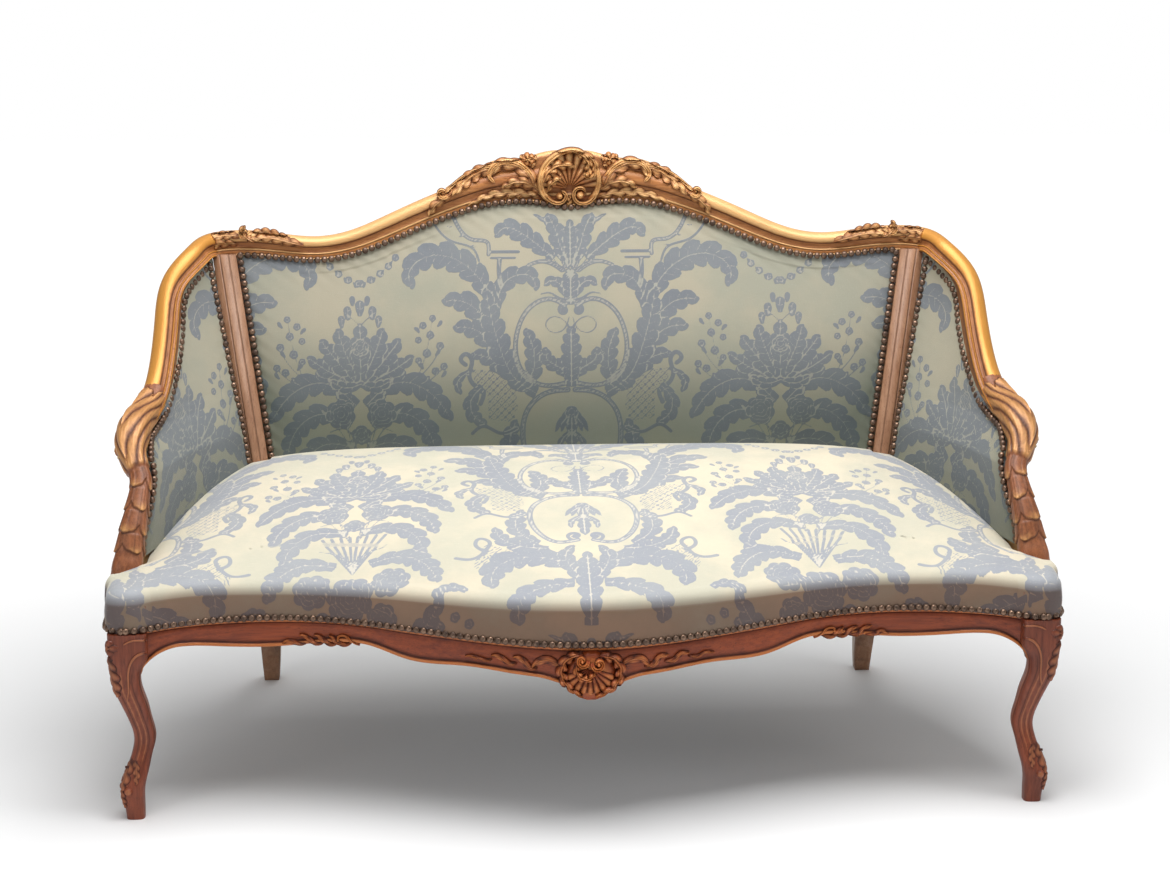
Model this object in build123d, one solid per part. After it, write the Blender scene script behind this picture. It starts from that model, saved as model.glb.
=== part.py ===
from build123d import *
import os
from math import cos, dist, pi, radians, sin, tan

# Cabriole sofa. Millimetres; +X to the sitter's left as seen from the front's right, +Y to the back, +Z up.
# The origin is on the floor, in the middle of the box that holds the sofa.

# ------------------------------------------------------------------ driving sizes
SOFA_DEPTH = 761.0  # carved shell on the front rail to the back of the rear feet
RAIL_TOP = 335.0  # top of the seat frame
RAIL_BOTTOM = 270.0  # underside of the side and back rails, where the webbing is tacked
RAIL_THICK = 30.0
APRON_THICK = 18.0  # moulded show-wood part of the front rail
REBATE = 12.0  # set-back of the rail above the show-wood, for the stuffed edge

# Front legs, centres half apart
FOOT_X = 680.0
FOOT_SET = 86.5  # foot's centre behind the middle of the front rail's face, towards the back
LEG_BLOCK = 58.0
LEG_BLOCK_BOTTOM = 250.0
LEG_CORNER = 0.42  # corner radius of the leg's section, as a share of its half width
# height, outward and forward set of the section's centre, half width
LEG_CURVE = [
    (0.0, 0.0, 13.5),
    (22.0, 1.0, 15.0),
    (50.0, 2.0, 17.5),
    (73.0, -4.0, 17.0),
    (97.0, -11.0, 15.5),
    (120.0, -16.0, 16.0),
    (152.0, -11.0, 17.0),
    (180.0, -4.0, 19.5),
    (205.0, 3.0, 20.5),
    (230.0, 5.0, 22.0),
    (256.0, 1.0, 28.0),
]

# Serpentine front
BOW_DEPTH = 109.0  # middle of the front to the hollow beside each leg
HOLLOW_X = 480.0
SHELL_PROUD = 28.0
SHELL_HALF = 46.0
SHELL_HEIGHT = 27.0
SHELL_Z = 233.0
# lower edge of the apron from the shell to the leg: share of the rail's half length, drop below the nails
APRON_EDGE = [
    (0.0, 52.0),
    (0.14, 52.0),
    (0.28, 48.0),
    (0.42, 50.0),
    (0.50, 37.0),
    (0.58, 37.0),
    (0.70, 47.0),
    (0.84, 44.0),
    (0.92, 38.0),
    (1.0, 40.0),
]

# Back posts: rear leg and stile
POST_X = 510.0  # post's centre at the seat frame, half apart
POST_SETBACK = 560.5  # front rail's face to the post's centre
POST_WIDE = 44.0
POST_DEEP = 42.0
STILE_WIDE = 38.0
STILE_DEEP = 35.0
STILE_LEAN = 8.1  # degrees outwards
BACK_RAKE = 10.4  # degrees backwards
POST_TOP = 768.0
REAR_FOOT_X = 521.5
REAR_FOOT = 25.0
# height, share of the way from the post's block back to the foot, section size
REAR_LEG_CURVE = [
    (0.0, 1.0, 25.0),
    (60.0, 0.87, 32.0),
    (140.0, 0.55, 37.0),
    (210.0, 0.22, 41.0),
]
POST_BLOCK_BOTTOM = 258.0

# Crest: distance from the middle, height of the rail's centre, half of its face
CREST_CURVE = [
    (0.0, 872.0, 31.0),
    (60.0, 873.0, 30.0),
    (120.0, 869.0, 27.0),
    (180.0, 853.0, 23.0),
    (240.0, 831.0, 21.5),
    (300.0, 806.0, 20.5),
    (360.0, 784.0, 19.0),
    (420.0, 775.0, 18.5),
    (480.0, 780.0, 19.0),
    (530.0, 785.0, 20.0),
]
SHELL_FOOT = 0.6  # foot of the crest's shell below the rail's middle, as a share of its half face
FILLET_MID = 0.65  # middle of the crest's flat fillet, as a share of its half face
CREST_END = (594.0, 781.0, 20.0)
RAIL_HALF_DEEP = 18.0  # half the depth of the crest and of the arm rails
BACK_BOW = 22.0  # the crest's bow, backwards
# top of the carving along the crest, beside the shell: distance from the middle, height
CRESTING_TOP = [(0.0, 930.0), (40.0, 927.0), (80.0, 917.0), (120.0, 914.0), (150.0, 902.0), (206.0, 868.0)]
FLOWER = (68.0, 915.0, 12.0)  # distance from the middle, height, radius
KNOB = (213.0, 862.0, 9.0)
CREST_TOP = 941.0  # top of the carved shell on the crest
FINIAL = (538.0, 800.0, 10.0)  # bud over each post: distance from the middle, height, radius

# Arm rails, from the crest's end to the knuckle: place from the middle, behind the post's block, height
ARM_CURVE = [
    (615.0, 33.0, 770.0),
    (645.0, -10.0, 736.0),
    (655.0, -55.0, 680.0),
    (659.0, -99.0, 624.0),
    (667.0, -143.0, 581.0),
    (681.0, -187.0, 552.0),
    (693.0, -230.0, 533.0),
]
ARM_END = (698.0, -272.0, 514.0)
ARM_HALF_WIDE = 20.0
KNUCKLE_R = 25.0

# Arm supports: height, place from the middle, place behind the post's block, half width, half depth
SUPPORT_CURVE = [
    (335.0, 690.0, -379.0, 23.0, 20.0),
    (362.0, 690.0, -379.0, 23.5, 20.0),
    (374.0, 688.5, -374.0, 21.5, 18.0),
    (402.0, 685.0, -362.0, 19.0, 17.0),
    (434.0, 679.0, -344.0, 16.5, 16.0),
    (460.0, 675.0, -326.0, 14.5, 15.0),
    (482.0, 674.5, -308.0, 15.0, 15.5),
    (502.0, 680.0, -292.0, 18.0, 17.0),
]

# Side rails
SIDE_BULGE = 52.0  # bow of the side rail outside its chord
SIDE_INSET = 3.0  # side rail's outer face inside the leg block's

# Lower rails that carry the back and wing upholstery
BACK_LOWER_Z = (372.0, 402.0)
WING_LOWER_Z = (348.0, 370.0)
LOWER_RAIL_THICK = 22.0

# Upholstery
COVER_THICK = 2.4
STUFF_CLEAR = 0.3
SEAT_EDGE_Z = 360.0
SEAT_CROWN = 96.0  # back of the seat above its front edge, in the middle
SEAT_MID_CROWN = 28.0
SEAT_HALF = 700.0  # where the crown has run out to the sides
SEAT_PROUD = 4.0  # cover in front of the show-wood
SEAT_BACK_BOW = 28.0  # bow of the seat's back edge
SEAT_STATIONS = [0, 110, 220, 330, 440, 550, 630, 672, 695, 722]  # slices, from the middle to past the side
CORNER_DROP = 12.0  # how far the seat's side edges are rounded down
SEAT_CORNER_R = 22.0
EDGE_ROLL = 20.0
BACK_COVER_SET = 6.0  # cover's edge behind the stiles' fronts
BACK_PAD_BACK = 24.0  # back of the stuffing behind the stile's front
BACK_CROWN = 20.0
WING_PAD_HALF = 13.0
WING_BULGE = (30.0, 14.0)  # outward bow of the wing, at the seat frame and at its top
OUTSIDE_COVER_THICK = 1.6
OPENING_CORNER = 14.0  # seat linings clear of the legs and posts
HESSIAN_DRAW = 26.0  # how far the hessian is drawn in over the springs
HESSIAN_LAP = 10.0  # how far it laps over the rails
HESSIAN_THICK = 1.6
WEB_WIDE = 55.0
WEB_THICK = 1.5
SEAT_WEBS_DEEP = 9
SEAT_WEBS_LONG = 4
BACK_WEBS_HIGH = 5
BACK_WEBS_LONG = 3

# Seat springs
SPRING_R = 36.0
SPRING_WIRE = 4.0
SPRING_TURNS = 4
SPRING_TOP = 368.0
SPRING_ROWS = 3
SPRINGS_IN_ROW = 6

# Fasteners
NAIL_Z = 288.0  # nail row at the middle of the front
NAIL_RISE = 16.0  # its rise to the hollow beside each leg
NAIL_R = 5.4
NAIL_HIGH = 3.6
NAIL_PITCH = 11.5
NAIL_EDGE = 0.8  # head's edge to the cover's border
BORDER_STEP = 4.0
NAIL_CLEAR = 0.12  # head off the cover, so that its flat back clears the bowed cloth
DOWEL_R = 4.0
DOWEL_LONG = 32.0
DOWEL_APART = 16.0
DOWEL_CLEAR = 0.1
BLOCK_LEG = 62.0  # corner block, along each rail
BLOCK_HIGH = 56.0
SCREW_APART = 40.0
SCREW_R = 2.5
SCREW_LONG = 44.0
SCREW_HEAD_R = 5.0

# ------------------------------------------------------------------ worked-out places
FRONT_Y = -SOFA_DEPTH / 2 + SHELL_PROUD
FOOT_Y = FRONT_Y + FOOT_SET
POST_Y = FRONT_Y + POST_SETBACK
BLOCK_IN_X = FOOT_X - LEG_BLOCK / 2
BLOCK_OUT_X = FOOT_X + LEG_BLOCK / 2
BLOCK_FRONT_Y = FOOT_Y - LEG_BLOCK / 2
BLOCK_BACK_Y = FOOT_Y + LEG_BLOCK / 2
POST_FRONT_Y = POST_Y - POST_DEEP / 2
NAIL_ROW_X = BLOCK_IN_X
UP = Vector(0, 0, 1)
FORWARD = Vector(0, -1, 0)


def lerp(low, high, share):
    return low + (high - low) * share


def interpolate(rows, key):
    """Values of the rows' other columns where the first column is key, straight between rows."""
    rows = sorted(rows)
    if key <= rows[0][0]:
        return rows[0][1:]
    for low, high in zip(rows, rows[1:]):
        if key <= high[0]:
            share = (key - low[0]) / (high[0] - low[0])
            return tuple(lerp(a, b, share) for a, b in zip(low[1:], high[1:]))
    return rows[-1][1:]


def bow(x):
    """How far the serpentine front lies behind its middle, at x."""
    return BOW_DEPTH * (1 - cos(pi * x / HOLLOW_X)) / 2


def front_y(x):
    return FRONT_Y + bow(x)


def nail_z(x):
    return NAIL_Z + NAIL_RISE * bow(x) / BOW_DEPTH


def stile_x(z):
    return POST_X + (z - RAIL_TOP) * tan(radians(STILE_LEAN))


def stile_front_y(z):
    return POST_FRONT_Y + (z - RAIL_TOP) * tan(radians(BACK_RAKE))


def back_y(x, z):
    """Front of the back frame: raked, and bowed backwards in the middle."""
    return stile_front_y(z) + BACK_BOW * (1 - (x / stile_x(z)) ** 2)


def mirrored(part):
    return mirror(part, about=Plane.YZ)


def main_solid(part):
    """The largest solid of a cut part, without the slivers that fall away."""
    return max(part.solids(), key=lambda solid: solid.volume)


def closed_face(*edges):
    return make_face(Wire(edges))


def prism_z(face, low, high):
    return extrude(Pos(0, 0, low) * face, high - low, dir=(0, 0, 1))


# ------------------------------------------------------------------ frame
def seat_block(x, y, wide, deep, low):
    return Pos(x, y, (low + RAIL_TOP) / 2) * Box(wide, deep, RAIL_TOP - low)


def front_leg():
    """Cabriole leg, with the plain block that takes the rails; the block is rebated for the cover."""
    sections = [
        Pos(FOOT_X + out, FOOT_Y - out, z) * RectangleRounded(2 * half, 2 * half, LEG_CORNER * half)
        for z, out, half in LEG_CURVE
    ]
    leg = loft(sections) + seat_block(FOOT_X, FOOT_Y, LEG_BLOCK, LEG_BLOCK, LEG_BLOCK_BOTTOM)
    show_top = nail_z(NAIL_ROW_X) - NAIL_R
    rebate = Pos(0, 0, show_top) * Box(
        4 * FOOT_X, 4 * SOFA_DEPTH, RAIL_TOP, align=(Align.CENTER, Align.CENTER, Align.MIN)
    )
    kept = Pos(FOOT_X - REBATE / 2, FOOT_Y + REBATE / 2, show_top) * Box(
        LEG_BLOCK - REBATE, LEG_BLOCK - REBATE, RAIL_TOP, align=(Align.CENTER, Align.CENTER, Align.MIN)
    )
    return leg - (rebate - kept)


def stile(top, grow=0.0):
    """Raked stile above the seat frame: tapers from the post's block, then runs straight."""
    sections = [Pos(POST_X, POST_Y, RAIL_TOP) * Rectangle(POST_WIDE + 2 * grow, POST_DEEP + 2 * grow)]
    for z in (BACK_LOWER_Z[1], top):
        centre_y = stile_front_y(z) + STILE_DEEP / 2
        sections.append(Pos(stile_x(z), centre_y, z) * Rectangle(STILE_WIDE + 2 * grow, STILE_DEEP + 2 * grow))
    return loft(sections, ruled=True)


def back_post():
    """Rear leg, block for the seat rails and raked stile, cut from one plank."""
    foot_y = SOFA_DEPTH / 2 - REAR_FOOT / 2
    leg_sections = [
        Pos(lerp(POST_X, REAR_FOOT_X, share), lerp(POST_Y, foot_y, share), z) * Rectangle(size, size)
        for z, share, size in REAR_LEG_CURVE
    ]
    leg_sections.append(Pos(POST_X, POST_Y, POST_BLOCK_BOTTOM) * Rectangle(POST_WIDE, POST_DEEP))
    block = seat_block(POST_X, POST_Y, POST_WIDE, POST_DEEP, POST_BLOCK_BOTTOM)
    return loft(leg_sections) + block + stile(POST_TOP)


def serpentine_band(set_back, thick):
    """Plan of a strip between the leg blocks that follows the front, set_back behind its face."""
    count = 12
    xs = [lerp(-BLOCK_IN_X, BLOCK_IN_X, i / count) for i in range(count + 1)]
    near = [(x, front_y(x) + set_back) for x in xs]
    far = [(x, y + thick) for x, y in near]
    return closed_face(Spline(*near), Line(near[-1], far[-1]), Spline(*reversed(far)), Line(far[0], near[0]))


def apron_outline():
    """Front view of the show-wood: nail line above, scalloped edge below."""
    right = [(BLOCK_IN_X * share, nail_z(BLOCK_IN_X * share) - drop) for share, drop in APRON_EDGE]
    lower = [(-x, z) for x, z in reversed(right[1:])] + right
    count = 12
    xs = [lerp(BLOCK_IN_X, -BLOCK_IN_X, i / count) for i in range(count + 1)]
    upper = [(x, nail_z(x) - NAIL_R) for x in xs]
    return closed_face(
        Spline(*lower), Line(lower[-1], upper[0]), Spline(*upper), Line(upper[-1], lower[0])
    )


def ellipsoid(centre, half_x, half_y, half_z):
    return Pos(*centre) * scale(Rot(90, 0, 0) * Sphere(half_x), by=(1, half_y / half_x, half_z / half_x))


def front_seat_rail():
    """Moulded apron and the plain rail behind and above it, with the carved shell, in one piece."""
    elevation = extrude(Plane.XZ * apron_outline(), SOFA_DEPTH, both=True)
    apron = prism_z(serpentine_band(0, APRON_THICK), 0, RAIL_TOP) & elevation
    upper = prism_z(serpentine_band(REBATE, RAIL_THICK - REBATE), RAIL_BOTTOM, RAIL_TOP)
    shell = ellipsoid((0, FRONT_Y, SHELL_Z), SHELL_HALF, SHELL_PROUD, SHELL_HEIGHT)
    front_half = Pos(0, FRONT_Y + APRON_THICK / 2, 0) * Box(
        4 * SHELL_HALF, SOFA_DEPTH, SOFA_DEPTH, align=(Align.CENTER, Align.MAX, Align.CENTER)
    )
    return apron + upper + (shell & front_half)


def side_rail_plan(inset, thick, run_back=0.0):
    """Plan of the bowed side rail's strip, inset inside its outer face."""
    front = Vector(BLOCK_OUT_X - SIDE_INSET - inset, BLOCK_BACK_Y)
    back = Vector(POST_X + POST_WIDE / 2 - inset, POST_FRONT_Y + run_back)
    along = (back - front).normalized()
    out = Vector(-along.Y, along.X) * -1
    middle = (front + back) * 0.5 + out * SIDE_BULGE
    step = Vector(-thick, 0)
    return closed_face(
        ThreePointArc(front, middle, back),
        Line(back, back + step),
        ThreePointArc(back + step, middle - out * thick, front + step),
        Line(front + step, front),
    )


def side_seat_rail():
    return prism_z(side_rail_plan(0, RAIL_THICK), RAIL_BOTTOM, RAIL_TOP)


def back_seat_rail():
    half = POST_X - POST_WIDE / 2
    return Pos(0, POST_Y, (RAIL_BOTTOM + RAIL_TOP) / 2) * Box(2 * half, RAIL_THICK, RAIL_TOP - RAIL_BOTTOM)


def back_lower_rail():
    """Tacking rail between the stiles, raked with them and bowed like the back."""
    faces = []
    for z in BACK_LOWER_Z:
        half = stile_x(z)
        edge_y = stile_front_y(z) + (STILE_DEEP - LOWER_RAIL_THICK) / 2
        band = arc_band(Vector(-half, edge_y), Vector(half, edge_y), 0, LOWER_RAIL_THICK, BACK_BOW, BACK_BOW)
        faces.append(Pos(0, 0, z) * band)
    post = stile(POST_TOP)
    return main_solid(loft(faces, ruled=True) - post - mirrored(post))


def arc_band(start, end, near, far, near_bulge, far_bulge):
    """Plan strip from start to end, between the offsets near and far to the left of the way there.
    Each long edge bulges further to the left by its bulge at the middle."""
    along = (end - start).normalized()
    left = Vector(-along.Y, along.X)
    middle = (start + end) * 0.5

    def long_edge(offset, bulge, flip):
        ends = [start + left * offset, end + left * offset]
        if flip:
            ends.reverse()
        if abs(bulge) < 0.01:
            return Line(*ends)
        return ThreePointArc(ends[0], middle + left * (offset + bulge), ends[1])

    return closed_face(
        long_edge(near, near_bulge, False),
        Line(end + left * near, end + left * far),
        long_edge(far, far_bulge, True),
        Line(start + left * far, start + left * near),
    )


# Moulded rails: the crest and both arm rails are cuts of one run of sections
def rail_profile(half_wide, half_deep):
    """Moulded section: local x runs to the outer edge, local y to the front. A roll along the outer
    edge, a cove inside it and a flat fillet by the upholstery."""
    w, d = half_wide, half_deep
    back_in = (-w, -d)
    back_out = (0.5 * w, -d)
    roll_side = (w, 0)
    roll_top = (0.45 * w, d)
    cove_low = (0.1 * w, 0.62 * d)
    fillet_out = (-0.3 * w, 0.8 * d)
    fillet_in = (-w, 0.8 * d)
    return closed_face(
        Line(back_in, back_out),
        ThreePointArc(back_out, roll_side, roll_top),
        ThreePointArc(roll_top, cove_low, fillet_out),
        Line(fillet_out, fillet_in),
        Line(fillet_in, back_in),
    )


def crest_centre(x, z):
    return Vector(x, back_y(x, z) + RAIL_HALF_DEEP, z)


def rail_run():
    """Places and half widths along the right half: the crest's middle, its end, the arm and the knuckle."""
    crest = [(crest_centre(x, z), half) for x, z, half in CREST_CURVE]
    joint = (crest_centre(CREST_END[0], CREST_END[1]), CREST_END[2])
    arm = [(Vector(x, POST_Y + y, z), ARM_HALF_WIDE) for x, y, z in ARM_CURVE + [ARM_END]]
    return crest, joint, arm


def rail_planes(points):
    """A section plane at each point: normal along the run, local y as near the front as it can be."""
    planes = []
    for i, point in enumerate(points):
        before, after = points[max(i - 1, 0)], points[min(i + 1, len(points) - 1)]
        along = (after - before).normalized()
        front = (FORWARD - along * FORWARD.dot(along)).normalized()
        planes.append(Plane(point, x_dir=front.cross(along), z_dir=along))
    return planes


def rail_sections(grow):
    """Sections and planes of the whole run, and which one is the right joint of crest and arm."""
    crest, joint, arm = rail_run()
    left = [(Vector(-p.X, p.Y, p.Z), half) for p, half in reversed(crest[1:] + [joint])]
    run = left + crest + [joint] + arm
    before = Vector(-arm[0][0].X, arm[0][0].Y, arm[0][0].Z)
    planes = rail_planes([before] + [point for point, half in run])[1:]
    sections = [plane * rail_profile(half + grow, RAIL_HALF_DEEP + grow) for plane, (p, half) in zip(planes, run)]
    return sections, planes, len(left) + len(crest)


def moulded_rails(grow=0.0):
    """Crest rail blank, right arm rail blank, and the planes of the arm's two ends."""
    sections, planes, joint_at = rail_sections(grow)
    return loft(sections[: joint_at + 1]), loft(sections[joint_at:]), planes[joint_at], planes[-1]


def rail_over_wing(grow):
    """The run from beside the stile to the knuckle, without a break at the joint."""
    sections, planes, joint_at = rail_sections(grow)
    return loft(sections[joint_at - 3 :])


def cresting():
    """Carved mass along the top of the crest: flower buds, scrolls and the shell in the middle."""
    top = CRESTING_TOP
    foot = [(x, z) for x, z, half in CREST_CURVE if x < top[-1][0]]
    outline = [(-x, z) for x, z in reversed(top[1:])] + top
    lower = [(-x, z) for x, z in reversed(foot[1:])] + foot
    face = closed_face(
        Spline(*outline), Line(outline[-1], lower[-1]), Spline(*reversed(lower)), Line(lower[0], outline[0])
    )
    middle_z = CREST_CURVE[0][1]
    centre_y = back_y(0, middle_z) + RAIL_HALF_DEEP
    crest = Pos(0, centre_y, 0) * extrude(Plane.XZ * face, RAIL_HALF_DEEP * 0.8, both=True)
    shell_half = (CREST_TOP - middle_z + SHELL_FOOT * CREST_CURVE[0][2]) / 2
    shell_z = CREST_TOP - shell_half
    shell = ellipsoid((0, back_y(0, shell_z) + RAIL_HALF_DEEP * 0.6, shell_z), 0.8 * shell_half, 24.0, shell_half)
    crest += shell
    for x, z, radius in (FLOWER, KNOB):
        bud = Pos(x, back_y(x, z) + RAIL_HALF_DEEP, z) * Rot(90, 0, 0) * Sphere(radius)
        crest += bud + mirrored(bud)
    return crest


def crest_rail():
    """Crest with its carving; its underside is let down over the posts' tops."""
    blank = moulded_rails()[0]
    post = stile(POST_TOP)
    finial = Pos(*crest_centre(FINIAL[0], FINIAL[1])) * Rot(90, 0, 0) * Sphere(FINIAL[2])
    return blank + cresting() + finial + mirrored(finial) - post - mirrored(post)


def support_blank(grow=0.0, least_half_wide=0.0):
    """Support without its knuckle; grown, and no narrower than the wing's pad, it trims the pad."""
    sections = []
    for z, x, y, wide, deep in SUPPORT_CURVE:
        half, depth = max(wide, least_half_wide) + grow, deep + grow
        sections.append(Pos(x, POST_Y + y, z) * RectangleRounded(2 * half, 2 * depth, 0.5 * min(wide, deep)))
    return loft(sections)


def arm_rail():
    """Right arm rail: the run past the crest's end, cut round the stile."""
    joint_plane = moulded_rails()[2]
    arm = split(rail_over_wing(0.0), bisect_by=joint_plane, keep=Keep.TOP)
    return main_solid(arm - stile(POST_TOP))


def arm_support():
    """Support from the side rail to the knuckle, cut to the arm rail's end."""
    x, y, z = ARM_END
    knuckle = Pos(x - 4, POST_Y + y - 5, z - 3) * Sphere(KNUCKLE_R)
    end_plane = moulded_rails()[3]
    return main_solid(split(support_blank() + knuckle, bisect_by=end_plane, keep=Keep.TOP))


# ------------------------------------------------------------------ wing and back pads
def wing_rows():
    """Height and place of the support and of the arm rail where the wing follows them, past the knuckle."""
    rows = [(z, x, y) for z, x, y, wide, deep in SUPPORT_CURVE[::2]]
    return rows + [(z, x, y) for x, y, z in reversed(ARM_CURVE[:-1])]


def wing_ends(z):
    """Where the wing's middle surface meets the stile and the arm, at a height."""
    stile = Vector(stile_x(z) + STILE_WIDE / 2 - 4, stile_front_y(z) + STILE_DEEP / 2)
    x, y = interpolate(wing_rows(), z)
    return Vector(x, POST_Y + y), stile


def wing_bulge(z):
    return lerp(*WING_BULGE, (z - RAIL_TOP) / (POST_TOP - RAIL_TOP))


def wing_band(heights, near, far):
    """Upright band that follows the wing, between offsets towards the seat."""
    faces = []
    for z in heights:
        arm, stile = wing_ends(z)
        faces.append(Pos(0, 0, z) * arc_band(arm, stile, near, far, -wing_bulge(z), -wing_bulge(z)))
    return loft(faces)


def wing_heights():
    """Heights of the wing's sections, from above the side rail to under the arm rail's top."""
    low, top = RAIL_TOP + 5, ARM_CURVE[0][2] - 4
    return [low] + [row[0] for row in wing_rows() if low + 8 < row[0] < top - 8] + [top]


def above(part, low):
    return part & Pos(0, 0, low) * Box(
        4 * FOOT_X, 4 * SOFA_DEPTH, 2 * CREST_TOP, align=(Align.CENTER, Align.CENTER, Align.MIN)
    )


def wing_lower_rail():
    """Tacking rail between the arm support and the stile, above the side rail."""
    low, high = WING_LOWER_Z
    band = wing_band(wing_heights(), -LOWER_RAIL_THICK / 2, LOWER_RAIL_THICK / 2)
    rail = above(band, low) - above(band, high)
    return main_solid(rail - support_blank() - stile(POST_TOP))


def pad_layer(near, far, z_low, grow):
    """One layer of a wing's upholstery, cut clear of the arm rail, support, post and tacking rail."""
    layer = above(wing_band(wing_heights(), near, far), z_low)
    for member in grow:
        layer -= member
    return main_solid(layer)


def wing_frame(grow):
    """The right wing's frame members, grown so that what is cut by them stays clear."""
    x, y, z = ARM_END
    knuckle = Pos(x - 4, POST_Y + y - 5, z - 3) * Sphere(KNUCKLE_R + grow)
    support = support_blank(grow, WING_PAD_HALF + 2 * COVER_THICK)
    return [rail_over_wing(grow), support, knuckle, stile(CREST_END[1], grow)]


def back_swell(z):
    """Share of the back's crown at a height: none at the lower rail and at the crest's middle."""
    low, high = back_heights()[0], back_heights()[-1]
    return sin(pi * min(max((z - low) / (high - low), 0.0), 1.0))


def back_band(heights, near, far, near_crown=0.0, far_crown=0.0):
    """Upright band across the back between the stiles' middles, offset behind the stiles' fronts."""
    faces = []
    for z in heights:
        half, edge_y = stile_x(z), stile_front_y(z)
        swell = back_swell(z)
        bulges = [max(BACK_BOW - crown * swell, 1.0) for crown in (near_crown, far_crown)]
        faces.append(Pos(0, 0, z) * arc_band(Vector(-half, edge_y), Vector(half, edge_y), near, far, *bulges))
    return loft(faces)


def back_outline(low):
    """Front view of the back's opening, drawn along the crest's fillet and the stiles' middles."""
    crest = [(x, z - FILLET_MID * half) for x, z, half in CREST_CURVE + [CREST_END]]
    top = [(-x, z) for x, z in reversed(crest[1:])] + crest
    right = (stile_x(low), low)
    left = (-stile_x(low), low)
    return closed_face(
        Spline(*top), Line(top[-1], right), Line(right, left), Line(left, top[0])
    )


def back_frame(grow):
    post = stile(CREST_END[1], grow)
    return [moulded_rails(grow)[0], post, mirrored(post)]


def back_heights():
    """Heights of the back's sections, from under its tacking rail to the crest's middle."""
    count = 6
    return [lerp(BACK_LOWER_Z[0], CREST_CURVE[0][1] + BACK_BOW, i / count) for i in range(count + 1)]


def back_layer(near, far, frame, near_crown=0.0, far_crown=0.0, low=BACK_LOWER_Z[1] + STUFF_CLEAR):
    heights = [RAIL_TOP] * (low < BACK_LOWER_Z[0]) + back_heights()
    layer = back_band(heights, near, far, near_crown, far_crown)
    layer &= extrude(Plane.XZ * back_outline(low), SOFA_DEPTH, both=True)
    for member in frame:
        layer -= member
    return main_solid(layer)


# ------------------------------------------------------------------ seat
def seat_front_y(x):
    """Front of the seat cover: follows the serpentine, then runs round the leg's block."""
    inner, outer = BLOCK_IN_X, BLOCK_IN_X + SEAT_CORNER_R
    if abs(x) <= inner:
        return front_y(x) - SEAT_PROUD
    share = min((abs(x) - inner) / (outer - inner), 1.0)
    return lerp(front_y(inner) - SEAT_PROUD, BLOCK_FRONT_Y + SEAT_PROUD, share)


def seat_top(x, inset):
    """Edge, middle and back heights of the seat's top at a distance from the middle."""
    run_out = (abs(x) / SEAT_HALF) ** 6
    drop = CORNER_DROP * (abs(x) / SEAT_HALF) ** 24
    edge = SEAT_EDGE_Z - drop - inset
    back = edge + SEAT_CROWN * (1 - run_out)
    middle = (edge + back) / 2 + SEAT_MID_CROWN * max(1 - run_out, 0.02)
    return edge, middle, back


def seat_body(inset, low_drop):
    """Crowned seat from side to side, as a loft of upright slices."""
    back = POST_Y + STILE_DEEP
    slices = []
    for x in [-s for s in reversed(SEAT_STATIONS[1:])] + SEAT_STATIONS:
        front = seat_front_y(x) + inset
        edge, middle, rear = seat_top(x, inset)
        low = nail_z(min(abs(x), NAIL_ROW_X)) - NAIL_R + STUFF_CLEAR - low_drop
        low_front, roll_low, roll_high = (front, low), (front, edge - EDGE_ROLL), (front + EDGE_ROLL, edge)
        roll_mid = (front + 0.29 * EDGE_ROLL, edge - 0.29 * EDGE_ROLL)
        top_mid = ((front + EDGE_ROLL + back) / 2, middle)
        outline = closed_face(
            Line(low_front, roll_low),
            ThreePointArc(roll_low, roll_mid, roll_high),
            ThreePointArc(roll_high, top_mid, (back, rear)),
            Line((back, rear), (back, low)),
            Line((back, low), low_front),
        )
        slices.append(Plane((x, 0, 0), x_dir=(0, 1, 0), z_dir=(1, 0, 0)) * outline)
    return loft(slices)


def seat_side(inset):
    """Right side of the seat cover's plan: corner round the leg's block, then the bowed side."""
    corner_low = Vector(BLOCK_OUT_X - SEAT_CORNER_R, BLOCK_FRONT_Y + SEAT_PROUD + inset)
    side_front = Vector(BLOCK_OUT_X + SEAT_PROUD - inset, BLOCK_FRONT_Y + REBATE + SEAT_CORNER_R)
    corner_mid = (side_front + corner_low) * 0.5 + Vector(1, -1) * (0.2 * SEAT_CORNER_R)
    side_back = Vector(POST_X + POST_WIDE / 2 + SEAT_PROUD - inset, POST_FRONT_Y - STUFF_CLEAR)
    along = (side_back - side_front).normalized()
    side_mid = (side_front + side_back) * 0.5 + Vector(along.Y, -along.X) * (SIDE_BULGE + SEAT_PROUD)
    return ThreePointArc(corner_low, corner_mid, side_front), ThreePointArc(side_front, side_mid, side_back)


def seat_plan(inset):
    """Plan of the seat cover; in front it runs on past the cover's face."""
    corner, side = seat_side(inset)
    far_front = -SOFA_DEPTH
    side_back = side @ 1
    back_end = Vector(POST_X - POST_WIDE / 2 - STUFF_CLEAR, side_back.Y)
    right = [Line((corner @ 0).X * Vector(1, 0) + Vector(0, far_front), corner @ 0), corner, side]
    right.append(Line(side_back, back_end))
    left = [edge for part in right for edge in mirrored(part).edges()]
    back_middle = Vector(0, side_back.Y + SEAT_BACK_BOW)
    back = ThreePointArc(back_end, back_middle, (-back_end.X, back_end.Y))
    return closed_face(*right, back, *left, Line(right[0] @ 0, (-(right[0] @ 0).X, far_front)))


def wing_zone(grow):
    """Space of the right wing and what lies outside it, above the side rail."""
    inner_face = WING_PAD_HALF + STUFF_CLEAR + COVER_THICK + grow
    return above(wing_band(wing_heights(), -SIDE_BULGE * 2, inner_face), WING_LOWER_Z[0] - grow)


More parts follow.
